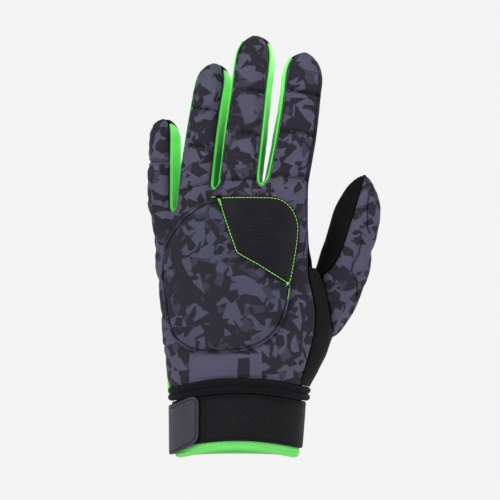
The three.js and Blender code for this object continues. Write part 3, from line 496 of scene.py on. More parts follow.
def resample(line, pitch):
    """Evenly spaced places along a line."""
    line = [Vector(p) for p in line]
    lengths = [0.0]
    for a, b in zip(line, line[1:]):
        lengths.append(lengths[-1] + (b - a).length)
    count = max(1, round(lengths[-1] / pitch))
    places, k = [], 0
    for i in range(count + 1):
        target = lengths[-1] * i / count
        while k < len(line) - 2 and lengths[k + 1] < target:
            k += 1
        span = max(lengths[k + 1] - lengths[k], 1e-9)
        places.append(line[k].lerp(line[k + 1], min(1, max(0, (target - lengths[k]) / span))))
    return places


class Thread:
    """All the stitches of one thread, gathered in one piece."""

    def __init__(self, name, finish):
        self.name = name
        self.finish = finish
        self.bead = thread_bead()
        self.points = []
        self.faces = []

    def stitch(self, centre, along, out, length, width):
        """One stitch, lying along a direction on a surface that faces out."""
        along = Vector(along).normalized()
        side = Vector(out).cross(along).normalized()
        lift = along.cross(side).normalized()
        first = len(self.points)
        for vertex in self.bead.vertices:
            x, y, z = vertex.co
            bulge = 1 - 0.35 * (2 * x) ** 2
            self.points.append(centre + along * (x * length) + (side * y + lift * z * 0.8) * width * bulge)
        self.faces.extend([first + i for i in face.vertices] for face in self.bead.polygons)

    def row(self, line, outs, pitch, length, width, lift=0.0, across=0.0):
        """Stitches spaced along a line; across turns them over the seam."""
        pitch, length, width, lift = (size * MM for size in (pitch, length, width, lift))
        tree = tree_of_places(line)
        places = resample(line, pitch)
        for a, b in zip(places, places[1:]):
            middle = (a + b) / 2
            out = Vector(outs[tree.find(middle)[1]])
            along = (b - a).normalized()
            if across:
                along = (along * (1 - across) + out.cross(along) * across).normalized()
            self.stitch(middle + out * lift, along, out, length, width)

    def finished(self):
        mesh = bpy.data.meshes.new(self.name)
        mesh.from_pydata([tuple(p) for p in self.points], [], self.faces)
        piece = bpy.data.objects.new(self.name, mesh)
        bpy.context.scene.collection.objects.link(piece)
        piece.data.materials.append(self.finish)
        shade(piece, 60)
        return piece


# Shader sums

class Signal:
    """A shader socket that sums and comparisons can be written with."""

    def __init__(self, finish, socket):
        self.finish = finish
        self.socket = socket

    def math(self, operation, *others, clamp=False):
        return self.finish.node("ShaderNodeMath", {"operation": operation, "use_clamp": clamp},
                                dict(enumerate((self, *others))))[0]

    def __add__(self, other):
        return self.math("ADD", other)

    __radd__ = __add__

    def __sub__(self, other):
        return self.math("SUBTRACT", other)

    def __rsub__(self, other):
        return self.math("MULTIPLY_ADD", -1.0, other)

    def __mul__(self, other):
        return self.math("MULTIPLY", other)

    __rmul__ = __mul__

    def __truediv__(self, other):
        return self.math("DIVIDE", other)

    def most(self, other):
        return self.math("MAXIMUM", other)

    def least(self, other):
        return self.math("MINIMUM", other)

    def size(self):
        return self.math("ABSOLUTE")

    def wave(self):
        return self.math("SINE")

    def waves(self, pitch, bend=0.0):
        """Ribs a pitch apart, from -1 to 1."""
        return (self * (math.tau / pitch) + bend).wave()

    def clipped(self):
        return self.math("ADD", 0.0, clamp=True)


class Made:
    """A node that gives its outputs by name or number, ready for sums."""

    def __init__(self, finish, node):
        self.finish = finish
        self.node = node

    def __getitem__(self, key):
        return Signal(self.finish, self.node.outputs[key])


class Finish:
    """One material, built node by node around a principled shader."""

    def __init__(self, name, roughness, specular, sheen=0.0, sheen_tint=(1, 1, 1), sheen_roughness=0.5):
        self.material = bpy.data.materials.new(name)
        self.material.use_nodes = True
        self.tree = self.material.node_tree
        self.tree.nodes.clear()
        self.shader = self.node("ShaderNodeBsdfPrincipled", {}, {
            "Roughness": roughness,
            "Sheen Weight": sheen,
            "Sheen Tint": (*sheen_tint, 1),
            "Sheen Roughness": sheen_roughness,
            "Specular IOR Level": specular,
        })
        output = self.tree.nodes.new("ShaderNodeOutputMaterial")
        self.tree.links.new(self.shader.node.outputs[0], output.inputs["Surface"])
        self.place = self.node("ShaderNodeTexCoord")["Object"]

    def feed(self, socket, value):
        if isinstance(value, Signal):
            self.tree.links.new(value.socket, socket)
        elif isinstance(value, (tuple, list, Vector)) and len(value) == 3 and socket.type == "RGBA":
            socket.default_value = (*value, 1)
        else:
            socket.default_value = value

    def node(self, kind, settings=None, inputs=None):
        made = self.tree.nodes.new(kind)
        for key, value in (settings or {}).items():
            setattr(made, key, value)
        for key, value in (inputs or {}).items():
            self.feed(made.inputs[key], value)
        return Made(self, made)

    def mix(self, factor, first, second):
        """One colour turning into another."""
        return self.node("ShaderNodeMix", {"data_type": "RGBA"}, {0: factor, 6: first, 7: second})[2]

    def vector(self, operation, *values):
        key = "Value" if operation in ("DOT_PRODUCT", "LENGTH", "DISTANCE") else "Vector"
        return self.node("ShaderNodeVectorMath", {"operation": operation}, dict(enumerate(values)))[key]

    def noise(self, size, detail=2.0, place=None, roughness=0.5):
        """Noise from 0 to 1 with grains of about that size, in metres."""
        return self.node("ShaderNodeTexNoise", {}, {
            "Vector": place or self.place,
            "Scale": 1 / size,
            "Detail": detail,
            "Roughness": roughness,
        })["Fac"]

    def axes(self, place=None):
        parts = self.node("ShaderNodeSeparateXYZ", {}, {0: place or self.place})
        return parts[0], parts[1], parts[2]

    def kept(self, name):
        """A number that is kept for each point of the piece."""
        return self.node("ShaderNodeAttribute", {"attribute_name": name})["Fac"]

    def colour(self, value):
        self.feed(self.shader.node.inputs["Base Color"], value)

    def two_tones(self, amount, tone, low, high):
        """One tone, from a darker to a lighter share of itself."""
        self.colour(self.mix(amount, times(tone, low), times(tone, high)))

    def rough(self, value):
        self.feed(self.shader.node.inputs["Roughness"], value)

    def relief(self, height):
        """Bumps whose height is given in millimetres."""
        bumps = self.node("ShaderNodeBump", {}, {"Strength": 1.0, "Distance": MM, "Height": height})
        self.feed(self.shader.node.inputs["Normal"], bumps["Normal"])


def linear(red, green, blue):
    """A colour as seen on a screen, 0 to 255, as a shader's amounts of light."""
    def one(value):
        value /= 255
        return value / 12.92 if value <= 0.04045 else ((value + 0.055) / 1.055) ** 2.4
    return one(red), one(green), one(blue)


def times(tone, share):
    """A tone made lighter or darker."""
    return tuple(share * value for value in tone)


# The printed cloth: overlapping shards in two tones of grey violet

FULL_TURN = 6.28
SHARD_SIDES = ((0.58, 0.58, 0.58), (0.62, -0.55, -0.56), (-0.60, 0.54, -0.59), (-0.55, -0.60, 0.58))


def shards(finish, size, shift, slack, edge=0.05):
    """Where a layer of slender, sharp cornered shards covers the cloth: 1 inside them and 0 outside."""
    moved = finish.vector("ADD", finish.place, shift)
    cells = finish.node("ShaderNodeTexVoronoi", {"voronoi_dimensions": "3D"}, {
        "Vector": moved, "Scale": 1 / size, "Randomness": 1.0})
    local = finish.vector("SUBTRACT", moved, cells["Position"])
    turn = finish.vector("SCALE", cells["Color"])
    turn.socket.node.inputs["Scale"].default_value = FULL_TURN
    turned = finish.node("ShaderNodeVectorRotate", {"rotation_type": "EULER_XYZ"}, {
        "Vector": local, "Rotation": turn})[0]
    stretched = finish.vector("MULTIPLY", turned, (1.0 / size, 1.5 / size, 0.42 / size))
    inside = None
    for k, side in enumerate(SHARD_SIDES):
        room = slack * (0.75 + 0.28 * k) - finish.vector("DOT_PRODUCT", stretched, side)
        inside = room if inside is None else inside.least(room)
    return (inside / edge).math("ADD", 0.5, clamp=True), cells["Color"]


def box_on_cloth(x, z, centre, half):
    """Where a plain rectangle is printed, in millimetres on the drawing: 1 in it and 0 outside."""
    across = ((x - centre[0] * MM).size() * -1 + half[0] * MM) / (0.3 * MM)
    upright = ((z - centre[1] * MM).size() * -1 + half[1] * MM) / (0.3 * MM)
    return across.least(upright).clipped()


def printed_cloth(name, light=(72, 70, 89), dark=(35, 31, 41), block=False):
    finish = Finish(name, roughness=0.82, sheen=0.07, sheen_tint=(0.7, 0.72, 1.0), sheen_roughness=0.4,
                    specular=0.16)
    big, tint = shards(finish, 24 * MM, (0.013, 0.021, 0.007), 0.31, 0.012)
    bites, _ = shards(finish, 17 * MM, (0.104, 0.034, 0.058), 0.27, 0.015)
    small, _ = shards(finish, 14 * MM, (0.211, 0.088, 0.133), 0.25, 0.02)
    slits, _ = shards(finish, 9 * MM, (0.355, 0.144, 0.071), 0.22, 0.03)
    veils, _ = shards(finish, 12 * MM, (0.451, 0.217, 0.312), 0.24, 0.02)
    tone = (big * (1 - bites)).most(small).most(veils * 0.42) * (1 - slits)
    x, y, z = finish.axes()
    if block:
        wander = (finish.noise(6 * MM, 1) - 0.5) * (2 * MM)
        light_block = box_on_cloth(x + wander, z + wander * 2, (-6.3, 51.5), (20.5, 8.5))
        dark_block = box_on_cloth(x + wander, z - wander, (3.7, 52.1), (3.6, 5.8))
        tone = tone.most(light_block) * (1 - dark_block)
    weave = finish.noise(0.9 * MM, 2)
    mottle = finish.noise(14 * MM, 2)
    bright = finish.mix(mottle, linear(*times(light, 0.93)), linear(*times(light, 1.07)))
    ground = finish.mix(mottle, linear(*times(dark, 0.9)), linear(*times(dark, 1.08)))
    uneven = 0.86 + 0.14 * finish.vector("DOT_PRODUCT", tint, (0.6, 0.5, 0.4))
    ink = finish.mix(tone * uneven, ground, bright)
    speck = finish.mix(weave, (0.82, 0.82, 0.82), (1.16, 1.16, 1.16))
    worn = finish.vector("MULTIPLY", ink, speck)
    # Black where the palm's edge turns over the back, and painted shade along the pad's stitched groove.
    finish.colour(finish.mix(finish.kept("black_edge_and_seam_shade"), worn, (0.004, 0.004, 0.005)))
    bend = finish.noise(12 * MM, 1) * 3.0
    ribs = z.waves(0.72 * MM, bend)
    yarns = x.waves(0.55 * MM, bend)
    finish.relief(ribs * 0.035 + yarns * 0.012 + weave * 0.06)
    finish.rough(0.76 + 0.12 * mottle - 0.05 * tone)
    return finish.material


def green_cloth(name, bright, painted_light_green, painted_shade_green, painted_glow):
    """A thin day-glow stretch cloth with a steady painted glow: its own bright green along its seams,
    painted light that makes it paler towards the fingertips, and painted shade that makes it deep green down
    between the fingers."""
    finish = Finish(name, roughness=0.62, sheen=0.3, sheen_tint=(0.7, 1.0, 0.65), sheen_roughness=0.35,
                    specular=0.25)
    mottle = finish.noise(9 * MM, 3)
    knit = finish.noise(0.6 * MM, 1)
    painted_fork_shading = finish.kept("painted_fork_shading")
    inner = finish.kept("inner")
    x, y, z = finish.axes()
    wales = (x + y * 0.6).waves(0.5 * MM, finish.noise(5 * MM, 1) * 2)
    rows = z.waves(0.6 * MM)
    # Painted shade deepens the green low down between the fingers, and painted light makes it paler towards
    # the tips, away from the seams.
    low = ((painted_fork_shading - 0.38) / 0.45).clipped() * inner
    high = ((0.34 - painted_fork_shading) / 0.34).clipped() * inner
    ink = finish.mix(low, finish.mix(high, bright, painted_light_green), painted_shade_green)
    grain = finish.mix(mottle * 0.6 + knit * 0.4, (0.84, 0.84, 0.84), (1.12, 1.12, 1.12))
    ink = finish.vector("MULTIPLY", ink, grain)
    finish.colour(ink)
    # The green shines with a steady painted light, which brightens it where the lamps reach it little.
    finish.feed(finish.shader.node.inputs["Emission Color"], ink)
    finish.shader.node.inputs["Emission Strength"].default_value = painted_glow
    finish.relief(wales * 0.02 + rows * 0.015 + knit * 0.04)
    finish.rough(0.55 + 0.2 * mottle)
    return finish.material


def suede(name, low, high):
    """Black palm suede, brushed in patches, with short fibres, and painted shade in its creases."""
    finish = Finish(name, roughness=0.9, sheen=0.03, sheen_tint=(0.8, 0.8, 0.85), sheen_roughness=0.6,
                    specular=0.05)
    brushed = finish.noise(11 * MM, 4, roughness=0.6)
    nap = finish.noise(0.45 * MM, 3)
    creases = finish.noise(4 * MM, 5, roughness=0.7)
    patches = ((brushed - 0.35) * 2.4).clipped()
    # Painted shade darkens the suede along its creases.
    outside_crease_shade = 1 - finish.kept("crease_shade")
    finish.colour(finish.mix((patches * 0.5 + nap * 0.4 + 0.1) * outside_crease_shade, low, high))
    finish.relief(nap * 0.12 + creases * 0.2)
    finish.rough(0.82 + 0.15 * nap)
    return finish.material


def twill(name, tone, pitch, slope, depth, gloss=0.78):
    """A black cloth with fine slanting ribs."""
    finish = Finish(name, roughness=gloss, sheen=0.03, sheen_tint=(0.8, 0.8, 0.9), sheen_roughness=0.5,
                    specular=0.12)
    x, y, z = finish.axes()
    wander = finish.noise(8 * MM, 2) * 1.6
    ribs = (z + x * slope).waves(pitch, wander)
    cross = (x - z * 0.4).waves(pitch * 0.8)
    fuzz = finish.noise(0.5 * MM, 2)
    mottle = finish.noise(10 * MM, 2)
    finish.two_tones(ribs * 0.3 + 0.35 + fuzz * 0.2 + mottle * 0.15, tone, 0.55, 1.5)
    finish.relief(ribs * depth + cross * depth * 0.3 + fuzz * 0.05)
    finish.rough(gloss - 0.1 + 0.15 * mottle)
    return finish.material


DOTS_CENTRE = (0.0160, 0, 0.1270)
DOTS_REACH = 10.5 * MM


def leather(name, tone, grain, gloss, specular, dots=False):
    """Smooth satin leather with a fine pebble and rubbed high spots, and a round field of dots if asked."""
    finish = Finish(name, roughness=gloss, specular=specular)
    pebble = finish.node("ShaderNodeTexVoronoi", {"feature": "DISTANCE_TO_EDGE"}, {
        "Vector": finish.place, "Scale": 1 / grain, "Randomness": 1.0})["Distance"]
    broad = finish.noise(7 * MM, 3)
    fine = finish.noise(0.5 * MM, 2)
    rubbed = (broad * 1.6 - 0.3).clipped()
    ink = finish.mix(rubbed * 0.7 + fine * 0.3, times(tone, 0.82), times(tone, 1.25))
    height = pebble.least(0.25) * 0.28 + fine * 0.02 + broad * 0.10
    if dots:
        x, y, z = finish.axes()
        spots = x.waves(4 * MM).size() * z.waves(4 * MM).size()
        spots = ((spots - 0.6) * 5).clipped()
        flat = finish.vector("MULTIPLY", finish.place, (1, 0, 1))
        reach = finish.vector("DISTANCE", flat, DOTS_CENTRE)
        spots = spots * ((reach * -1 + DOTS_REACH) / (0.5 * MM)).clipped()
        height = height + spots * 0.3
        ink = finish.mix(spots * 0.7, ink, times(tone, 3.2))
        finish.rough(gloss + 0.12 * broad - 0.10 * spots - 0.04)
    else:
        finish.rough(gloss - 0.04 + 0.12 * broad)
    finish.colour(ink)
    finish.relief(height)
    return finish.material


def neoprene(name, tone):
    """Foam rubber faced with a fine black knit."""
    finish = Finish(name, roughness=0.85, sheen=0.03, sheen_tint=(0.85, 0.88, 1.0), sheen_roughness=0.55,
                    specular=0.1)
    x, y, z = finish.axes()
    loops = z.waves(0.55 * MM, (x + y).waves(0.7 * MM) * 1.2)
    fuzz = finish.noise(0.4 * MM, 2)
    mottle = finish.noise(8 * MM, 2)
    finish.two_tones(fuzz * 0.4 + mottle * 0.3 + loops * 0.15 + 0.1, tone, 0.6, 1.5)
    finish.relief(loops * 0.03 + fuzz * 0.06)
    finish.rough(0.78 + 0.12 * mottle)
    return finish.material


def webbing(name, tone):
    """Black elastic with close slanting ribs that run round the wrist."""
    finish = Finish(name, roughness=0.6, specular=0.12, sheen=0.015, sheen_tint=(0.85, 0.85, 0.95))
    round_wrist = finish.node("ShaderNodeUVMap", {"uv_map": "round_wrist"})["UV"]
    u, v, _ = finish.axes(round_wrist)
    wander = finish.noise(9 * MM, 2) * 1.2
    ribs = (v + u * 0.52).waves(1.75 * MM, wander)
    picks = (u - v * 0.25).waves(0.8 * MM, wander)
    fuzz = finish.noise(0.45 * MM, 2)
    mottle = finish.noise(12 * MM, 2)
    finish.two_tones((ribs * 0.38 + picks * 0.10 + 0.38 + fuzz * 0.12).clipped(), tone, 0.12, 3.4)
    finish.relief(ribs * 0.22 + picks * 0.05 + fuzz * 0.05)
    finish.rough(0.5 + 0.2 * mottle - 0.08 * ribs)
    return finish.material


def cord_thread(name, tone, gloss=0.45, sheen=0.2, specular=0.5):
    """Twisted sewing thread."""
    finish = Finish(name, roughness=gloss, sheen=sheen, specular=specular)
    twist = finish.noise(0.35 * MM, 2)
    finish.two_tones(twist, tone, 0.65, 1.2)
    finish.relief(twist * 0.08)
    finish.rough(gloss + 0.15 * twist)
    return finish.material


PRINT = printed_cloth("printed_stretch_cloth", block=True)
PAD_PRINT = printed_cloth("printed_pad_cloth", light=(65, 65, 84), dark=(33, 31, 40))
# Each green: its own bright tone, a paler tone of painted light, a deep tone of painted shade, and the
# strength of its steady painted light.
SIDE_GREEN = green_cloth("green_side_cloth", (0.13, 0.62, 0.12), (0.52, 0.86, 0.44), (0.004, 0.15, 0.016),
                         painted_glow=0.32)
BINDING_GREEN = green_cloth("green_binding_cloth", (0.13, 0.58, 0.12), (0.2, 0.7, 0.18), (0.1, 0.4, 0.1),
                            painted_glow=0.12)
PALM = suede("black_palm_suede", (0.0016, 0.0016, 0.0018), (0.030, 0.029, 0.032))
# The thumb's suede is the palm's suede painted darker, as painted shade.
SHADED_THUMB_SUEDE = suede("shaded_black_thumb_suede", (0.0004, 0.0004, 0.0005), (0.007, 0.0066, 0.0074))
GUSSET = twill("black_gusset_twill", (0.0022, 0.0018, 0.0032), 0.95 * MM, 0.75, 0.05)
PATCH = leather("black_patch_leather", linear(14, 13, 19), 0.9 * MM, 0.46, 0.13, dots=True)
TAB = leather("grey_tab_leather", linear(49, 47, 58), 0.8 * MM, 0.5, 0.2)
CUFF = neoprene("black_cuff_neoprene", (0.0026, 0.0026, 0.0036))
STRAP = webbing("black_ribbed_elastic", (0.0036, 0.0034, 0.0044))
BLACK_THREAD = cord_thread("black_sewing_thread", (0.003, 0.003, 0.004), 0.7, 0.01, 0.1)
GREEN_THREAD = cord_thread("lime_sewing_thread", linear(140, 225, 90))
BINDING_THREAD = cord_thread("green_sewing_thread", (0.12, 0.5, 0.1))


def dress(piece, node, finish, smooth=60):
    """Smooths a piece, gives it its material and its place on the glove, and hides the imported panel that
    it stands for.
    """
    shade(piece, smooth)
    piece.data.materials.clear()
    piece.data.materials.append(finish)
    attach(piece, "root")
    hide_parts(node)
    return piece


def sew_up(piece, wall, node, finish, smooth=60):
    """Gives a shaped sheet its wall, and dresses it."""
    thicken(piece, wall)
    return dress(piece, node, finish, smooth)


# Finding places on the cloth

def tree_of(piece):
    mesh = piece.data
    return BVHTree.FromPolygons([v.co for v in mesh.vertices], [list(p.vertices) for p in mesh.polygons])


def finger_place(finger, share):
    """A place on a finger's middle line, in metres, with the directions onward and to its side."""
    lean = math.radians(finger["lean"])
    onward = Vector((math.sin(lean), 0, math.cos(lean)))
    side = Vector((math.cos(lean), 0, -math.sin(lean)))
    reach = share * finger["length"]
    bow = finger["bow"] * 4 * share * (1 - share)
    curl = finger["curl"] * share * abs(share)
    place = Vector(finger["base"]) + onward * reach + side * bow + Vector((0, curl, 0))
    return place * MM, onward, side


def across_finger(tree, finger, share, spread=62, from_back=0):
    """A line over the back of a finger, or 180 degrees round from it, found on the cloth."""
    centre, onward, side = finger_place(finger, share)
    outward = side.cross(onward)
    if outward.y > 0:
        outward = -outward
    line, outs = [], []
    for step in range(61):
        angle = math.radians(finger["turn"] + from_back + spread * (step / 30 - 1))
        ray = side * math.sin(angle) + outward * math.cos(angle)
        sway = onward * (0.5 * MM * math.sin(step / 60 * math.pi) + 0.25 * MM * math.sin(step * 0.9))
        hit, normal, _, _ = tree.ray_cast(centre + sway, ray, finger["half"] * MM * 1.45)
        if hit is not None:
            line.append(hit)
            outs.append(normal if normal.dot(ray) > 0 else -normal)
    return line, outs


def on_cloth(tree, x, z, side=-1):
    """The place on the cloth behind a point of the drawing, in millimetres. Side is 1 on the palm."""
    hit, normal, _, _ = tree.ray_cast(Vector((x * MM, side * 0.08, z * MM)), Vector((0, -side, 0)), 0.2)
    if hit is None:
        return None, None
    return hit, (normal if normal.y * side > 0 else -normal)


def pixel_line(pixels):
    """Points measured on the picture, as millimetres on the drawing."""
    left, foot = PICTURE_ORIGIN
    return [((x - left) * MM_PER_PIXEL, (foot - y) * MM_PER_PIXEL) for x, y in pixels]


def laid_on(tree, drawn, closed=False, step=0.6, side=-1):
    """A drawn line laid on the cloth."""
    drawn = [Vector((x, 0, z)) for x, z in drawn]
    if closed:
        drawn.append(drawn[0])
    line, outs = [], []
    for place in resample(drawn, step):
        hit, normal = on_cloth(tree, place.x, place.z, side)
        if hit is not None:
            line.append(hit)
            outs.append(normal)
    return line, outs


# Lines that run beside a piece's own edge

SHORTEST_RUN = 6


def edge_lines(piece, beside, near):
    """The runs of a sheet's open edge that lie close to another piece, drawn a little over half way across
    the seam between them."""
    tree = tree_of_places([vertex.co for vertex in beside.data.vertices])
    vertices = piece.data.vertices
    runs = []
    for loop in rim_loops(piece.data):
        runs.append([])
        for number in loop + loop[:1]:
            if tree.find(vertices[number].co)[2] < near:
                runs[-1].append(number)
            else:
                runs.append([])
    lines = []
    for run in runs:
        if len(run) <= SHORTEST_RUN:
            continue
        places = [vertices[n].co.lerp(tree.find(vertices[n].co)[0], 0.6) for n in run]
        for _ in range(3):
            inner = [(a + b * 2 + c) / 4 for a, b, c in zip(places, places[1:], places[2:])]
            places = places[:1] + inner + places[-1:]
        lines.append((places, [vertices[n].normal.copy() for n in run]))
    return lines


def inset_line(piece, distance, step=0.4 * MM):
    """The longest edge of a sheet, moved in by a distance, in small steps along its surface."""
    mesh = piece.data
    tree = tree_of(piece)
    loop = max(rim_loops(mesh), key=len)
    rim = [mesh.vertices[n].co.copy() for n in loop]
    rim_tree = tree_of_places(rim)
    line, outs = [], []
    count = len(rim)
    for i, place in enumerate(rim):
        along = rim[(i + 2) % count] - rim[i - 2]
        if along.length < 1e-7:
            continue
        way = mesh.vertices[loop[i]].normal.cross(along).normalized()
        ahead = (tree.find_nearest(place + way * MM)[0] - place).length
        behind = (tree.find_nearest(place - way * MM)[0] - place).length
        if behind > ahead:
            way = -way
        here, out = place, mesh.vertices[loop[i]].normal
        for _ in range(round(distance / step)):
            here, out, _, _ = tree.find_nearest(here + way * step)
            way = (way - out * way.dot(out)).normalized()
        if rim_tree.find(here)[2] > 0.75 * distance:
            line.append(here)
            outs.append(out)
    count = len(line)
    line = [(line[i - 1] + line[i] * 2 + line[(i + 1) % count]) / 4 for i in range(count)]
    return line + line[:1], outs + outs[:1]


def inset_drawing(piece, distance):
    """A sheet's outline as the picture shows it, moved in by a distance, in millimetres on the drawing."""
    loop = max(rim_loops(piece.data), key=len)
    rim = [piece.data.vertices[n].co / MM for n in loop]
    drawn = [Vector((p.x, p.z)) for p in rim]
    count = len(drawn)
    area = sum(drawn[i - 1].x * drawn[i].y - drawn[i].x * drawn[i - 1].y for i in range(count))
    turn = 1 if area > 0 else -1
    moved = []
    for i in range(count):
        along = drawn[(i + 3) % count] - drawn[i - 3]
        if along.length > 1e-6:
            along.normalize()
            place = drawn[i] + Vector((-along.y, along.x)) * turn * distance
            moved.append((place.x, place.y))
    return moved


# The pieces

black = Thread("black_stitching", BLACK_THREAD)
lime = Thread("lime_patch_stitching", GREEN_THREAD)
overlock = Thread("black_overlock_stitching", BLACK_THREAD)
green_rows = Thread("green_hem_stitching", BINDING_THREAD)

# How strongly painted shade darkens each green strip low down between its fingers.
FORK_SHADE_DEPTHS = {
    "side_strip_little_ring": 0.7,
    "side_strip_ring_middle": 1.05,
    "side_strip_middle_index": 1.15,
}
strips = []
for node, depth in FORK_SHADE_DEPTHS.items():
    strip = rounded_sheet(node, node.replace("side_strip", "green_strip"), CLOTH, 3)
    ripple(strip, 0.3, 7, 5)
    places = points_of(strip.data)
    heights = places[:, 2]
    # Painted light at the top of each strip and painted shade low down, by height, kept off the strip's
    # seams.
    mark(strip, "painted_fork_shading", depth * (heights.max() - heights) / (heights.max() - heights.min()))
    mark(strip, "inner", ease(rim_distance(strip.data, places), 0.5 * MM, 2.2 * MM))
    strips.append(strip)

KNUCKLE_LINES = (
    [(184, 190), (190, 188), (198, 186.5), (209, 184)],
    [(219, 181), (230, 180.5), (243, 180.5), (255, 180)],
    [(262, 180), (272, 178.5), (285, 177.5), (297, 179), (308, 181)],
)


def back_seams(tree):
    """The lines that are sewn across the fingers and along the knuckles, and which way they face."""
    rows = [across_finger(tree, FINGERS[name], share)
            for name, shares in CHANNELS.items() for share in shares]
    rows += [laid_on(tree, pixel_line(pixels)) for pixels in KNUCKLE_LINES]
    return [row for row in rows if len(row[0]) > 5]


INDEX_EDGE_FOOT = -42  # where the index side's black edge starts, in millimetres along the finger


def black_edges(piece):
    """How black each point of the back is: the palm's suede turns over the index finger's outer side, and a
    little over every fingertip."""
    places = points_of(piece.data) / MM
    black_share = np.zeros(len(places))
    for name, finger in FINGERS.items():
        lean = math.radians(finger["lean"])
        onward = np.array([math.sin(lean), 0, math.cos(lean)])
        side = np.array([math.cos(lean), 0, -math.sin(lean)])
        rel = places - np.array(finger["base"])
        along, across = rel @ onward, rel @ side
        lowest = INDEX_EDGE_FOOT if name == "index" else 0.6 * finger["length"]
        own = (np.abs(across) < finger["half"] + 2) & (along > lowest)
        if name == "index":
            own &= across > 0
            bins = np.round(along / 1.5).astype(int)
            bow = finger["bow"] * 4 * (along / finger["length"]) * (1 - along / finger["length"])
            for number in np.unique(bins[own]):
                ring = own & (bins == number)
                width = 1.7 if number > 0 else 0.5
                out = across[ring].max() - across[ring]
                black_share[ring] = np.maximum(black_share[ring], 1 - ease(out, width - 0.35, width + 0.35))
        if own.any():
            top = along[own].max()
            round_end = np.sqrt(np.maximum(0, 1 - (across / finger["half"]) ** 2)) * 6 - 6
            tip = 1 - ease(top + round_end - along, 0.9, 1.7)
            black_share[own] = np.maximum(black_share[own], tip[own])
    return mark(piece, "black_edge_and_seam_shade", black_share)


pad = rounded_sheet("back_pad", "padded_back_cover", 4.5 * MM, 4, crisp=True)
pad_rim = [pad.data.vertices[n].co.copy() for n in max(rim_loops(pad.data), key=len)]
back = rounded_sheet("back_panel", "printed_back", CLOTH, 2)
seams = [line for line, _ in back_seams(tree_of(back))]
on_fingers = ease(points_of(back.data)[:, 2], 136 * MM, 148 * MM)
fill(back, seams + [pad_rim], 8, 0.035, (0.45 + 1.15 * on_fingers) * MM)
subdivide(back, 1)
seams = [line for line, _ in back_seams(tree_of(back))]
puff(back, seams + [pad_rim], 0.4, 6)
ripple(back, 0.45, 9, 1)
ripple(back, 0.16, 3.5, 2)
tuck(back, 2.0, 1.5)
press_seams(back, seams, 0.8, 1.3, 0.34, 3.6, 6)
press_seams(back, [pad_rim], 1.2, 0.5, 0.1, 3.6, 4)
for line, outs in back_seams(tree_of(back)):
    black.row(line, outs, 1.9, 1.5, 0.5, 0.1)
for strip in strips:
    for line, outs in edge_lines(strip, back, 2.4 * MM):
        overlock.row(line, outs, 0.95, 1.35, 0.42, 0.12, across=0.7)
        overlock.row(line, outs, 0.9, 1.0, 0.5, -0.05)
black_edges(back)
sew_up(back, CLOTH, "back_panel", PRINT)

for strip, node in zip(strips, FORK_SHADE_DEPTHS):
    sew_up(strip, CLOTH, node, SIDE_GREEN)

palm = rounded_sheet("palm_panel", "suede_palm", SUEDE, 3)
ripple(palm, 0.5, 11, 3)
ripple(palm, 0.15, 4, 13)
tuck(palm, 1.4, 0.8)
PALM_FOLDS = (
    [(-44, 108), (-32, 106), (-16, 110), (2, 119), (18, 131)],
    [(33, 126), (18, 117), (7, 101), (1, 82), (3, 62), (8, 50)],
    [(-34, 84), (-20, 88), (-4, 96), (9, 106)],
)
PALM_JOINTS = {"little": (0.08, 0.5), "ring": (0.06, 0.36, 0.64), "middle": (0.04, 0.32, 0.61),
               "index": (0.04, 0.36, 0.675)}
palm_tree = tree_of(palm)
folds = [laid_on(palm_tree, drawn, side=1)[0] for drawn in PALM_FOLDS]
joints = [across_finger(palm_tree, FINGERS[name], share, 50, 180)[0]
          for name, shares in PALM_JOINTS.items() for share in shares]
folds = [line for line in folds if len(line) > 5]
joints = [line for line in joints if len(line) > 5]
press_seams(palm, folds, 1.3, 1.3, 0.3, 5, 7)
press_seams(palm, joints, 1.0, 1.1, 0.3, 3.4, 5)
# Painted shade in the palm's creases and finger joints, for the suede to read.
fold_lines = Lines(folds + joints)
near_fold = np.array([fold_lines.nearest(place)[0] for place in points_of(palm.data)])
mark(palm, "crease_shade", 0.9 * np.exp(-((near_fold / (1.3 * MM)) ** 2)))
for line, outs in edge_lines(palm, back, 3.0 * MM):
    overlock.row(line, outs, 0.95, 1.6, 0.5, -0.05, across=0.7)
    overlock.row(line, outs, 0.8, 1.0, 0.9, -0.25)
sew_up(palm, SUEDE, "palm_panel", PALM)

gusset = rounded_sheet("thumb_gusset", "thumb_stretch_gusset", CLOTH, 4)
ripple(gusset, 0.35, 9, 6)
tuck(gusset, 1.4, 0.7)
sew_up(gusset, CLOTH, "thumb_gusset", GUSSET)

THUMB_LINES = (
    [(371.5, 190), (368.6, 197), (367.2, 208), (367.4, 220), (367.4, 229), (369.7, 233)],
    [(361.7, 240), (358.3, 255), (353, 263), (350.8, 272.5), (354.8, 277), (357, 284), (357.5, 290),
     (357, 296)],
)
thumb = rounded_sheet("thumb_back", "printed_thumb", CLOTH, 4)
thumb_tree = tree_of(thumb)
thumb_seams = [laid_on(thumb_tree, pixel_line(pixels))[0] for pixels in THUMB_LINES]
puff(thumb, thumb_seams, 0.8, 6)
ripple(thumb, 0.4, 8, 7)
ripple(thumb, 0.15, 3.5, 17)
tuck(thumb, 1.7, 1.2)
press_seams(thumb, thumb_seams, 0.8, 1.1, 0.4, 3.8, 7)
thumb_tree = tree_of(thumb)
for pixels in THUMB_LINES:
    line, outs = laid_on(thumb_tree, pixel_line(pixels))
    black.row(line, outs, 1.9, 1.5, 0.45, 0.08)
sew_up(thumb, CLOTH, "thumb_back", PRINT)

thumb_palm = rounded_sheet("thumb_palm", "suede_thumb", CLOTH, 4)
ripple(thumb_palm, 0.35, 8, 8)
tuck(thumb_palm, 1.4, 0.7)
sew_up(thumb_palm, CLOTH, "thumb_palm", SHADED_THUMB_SUEDE)

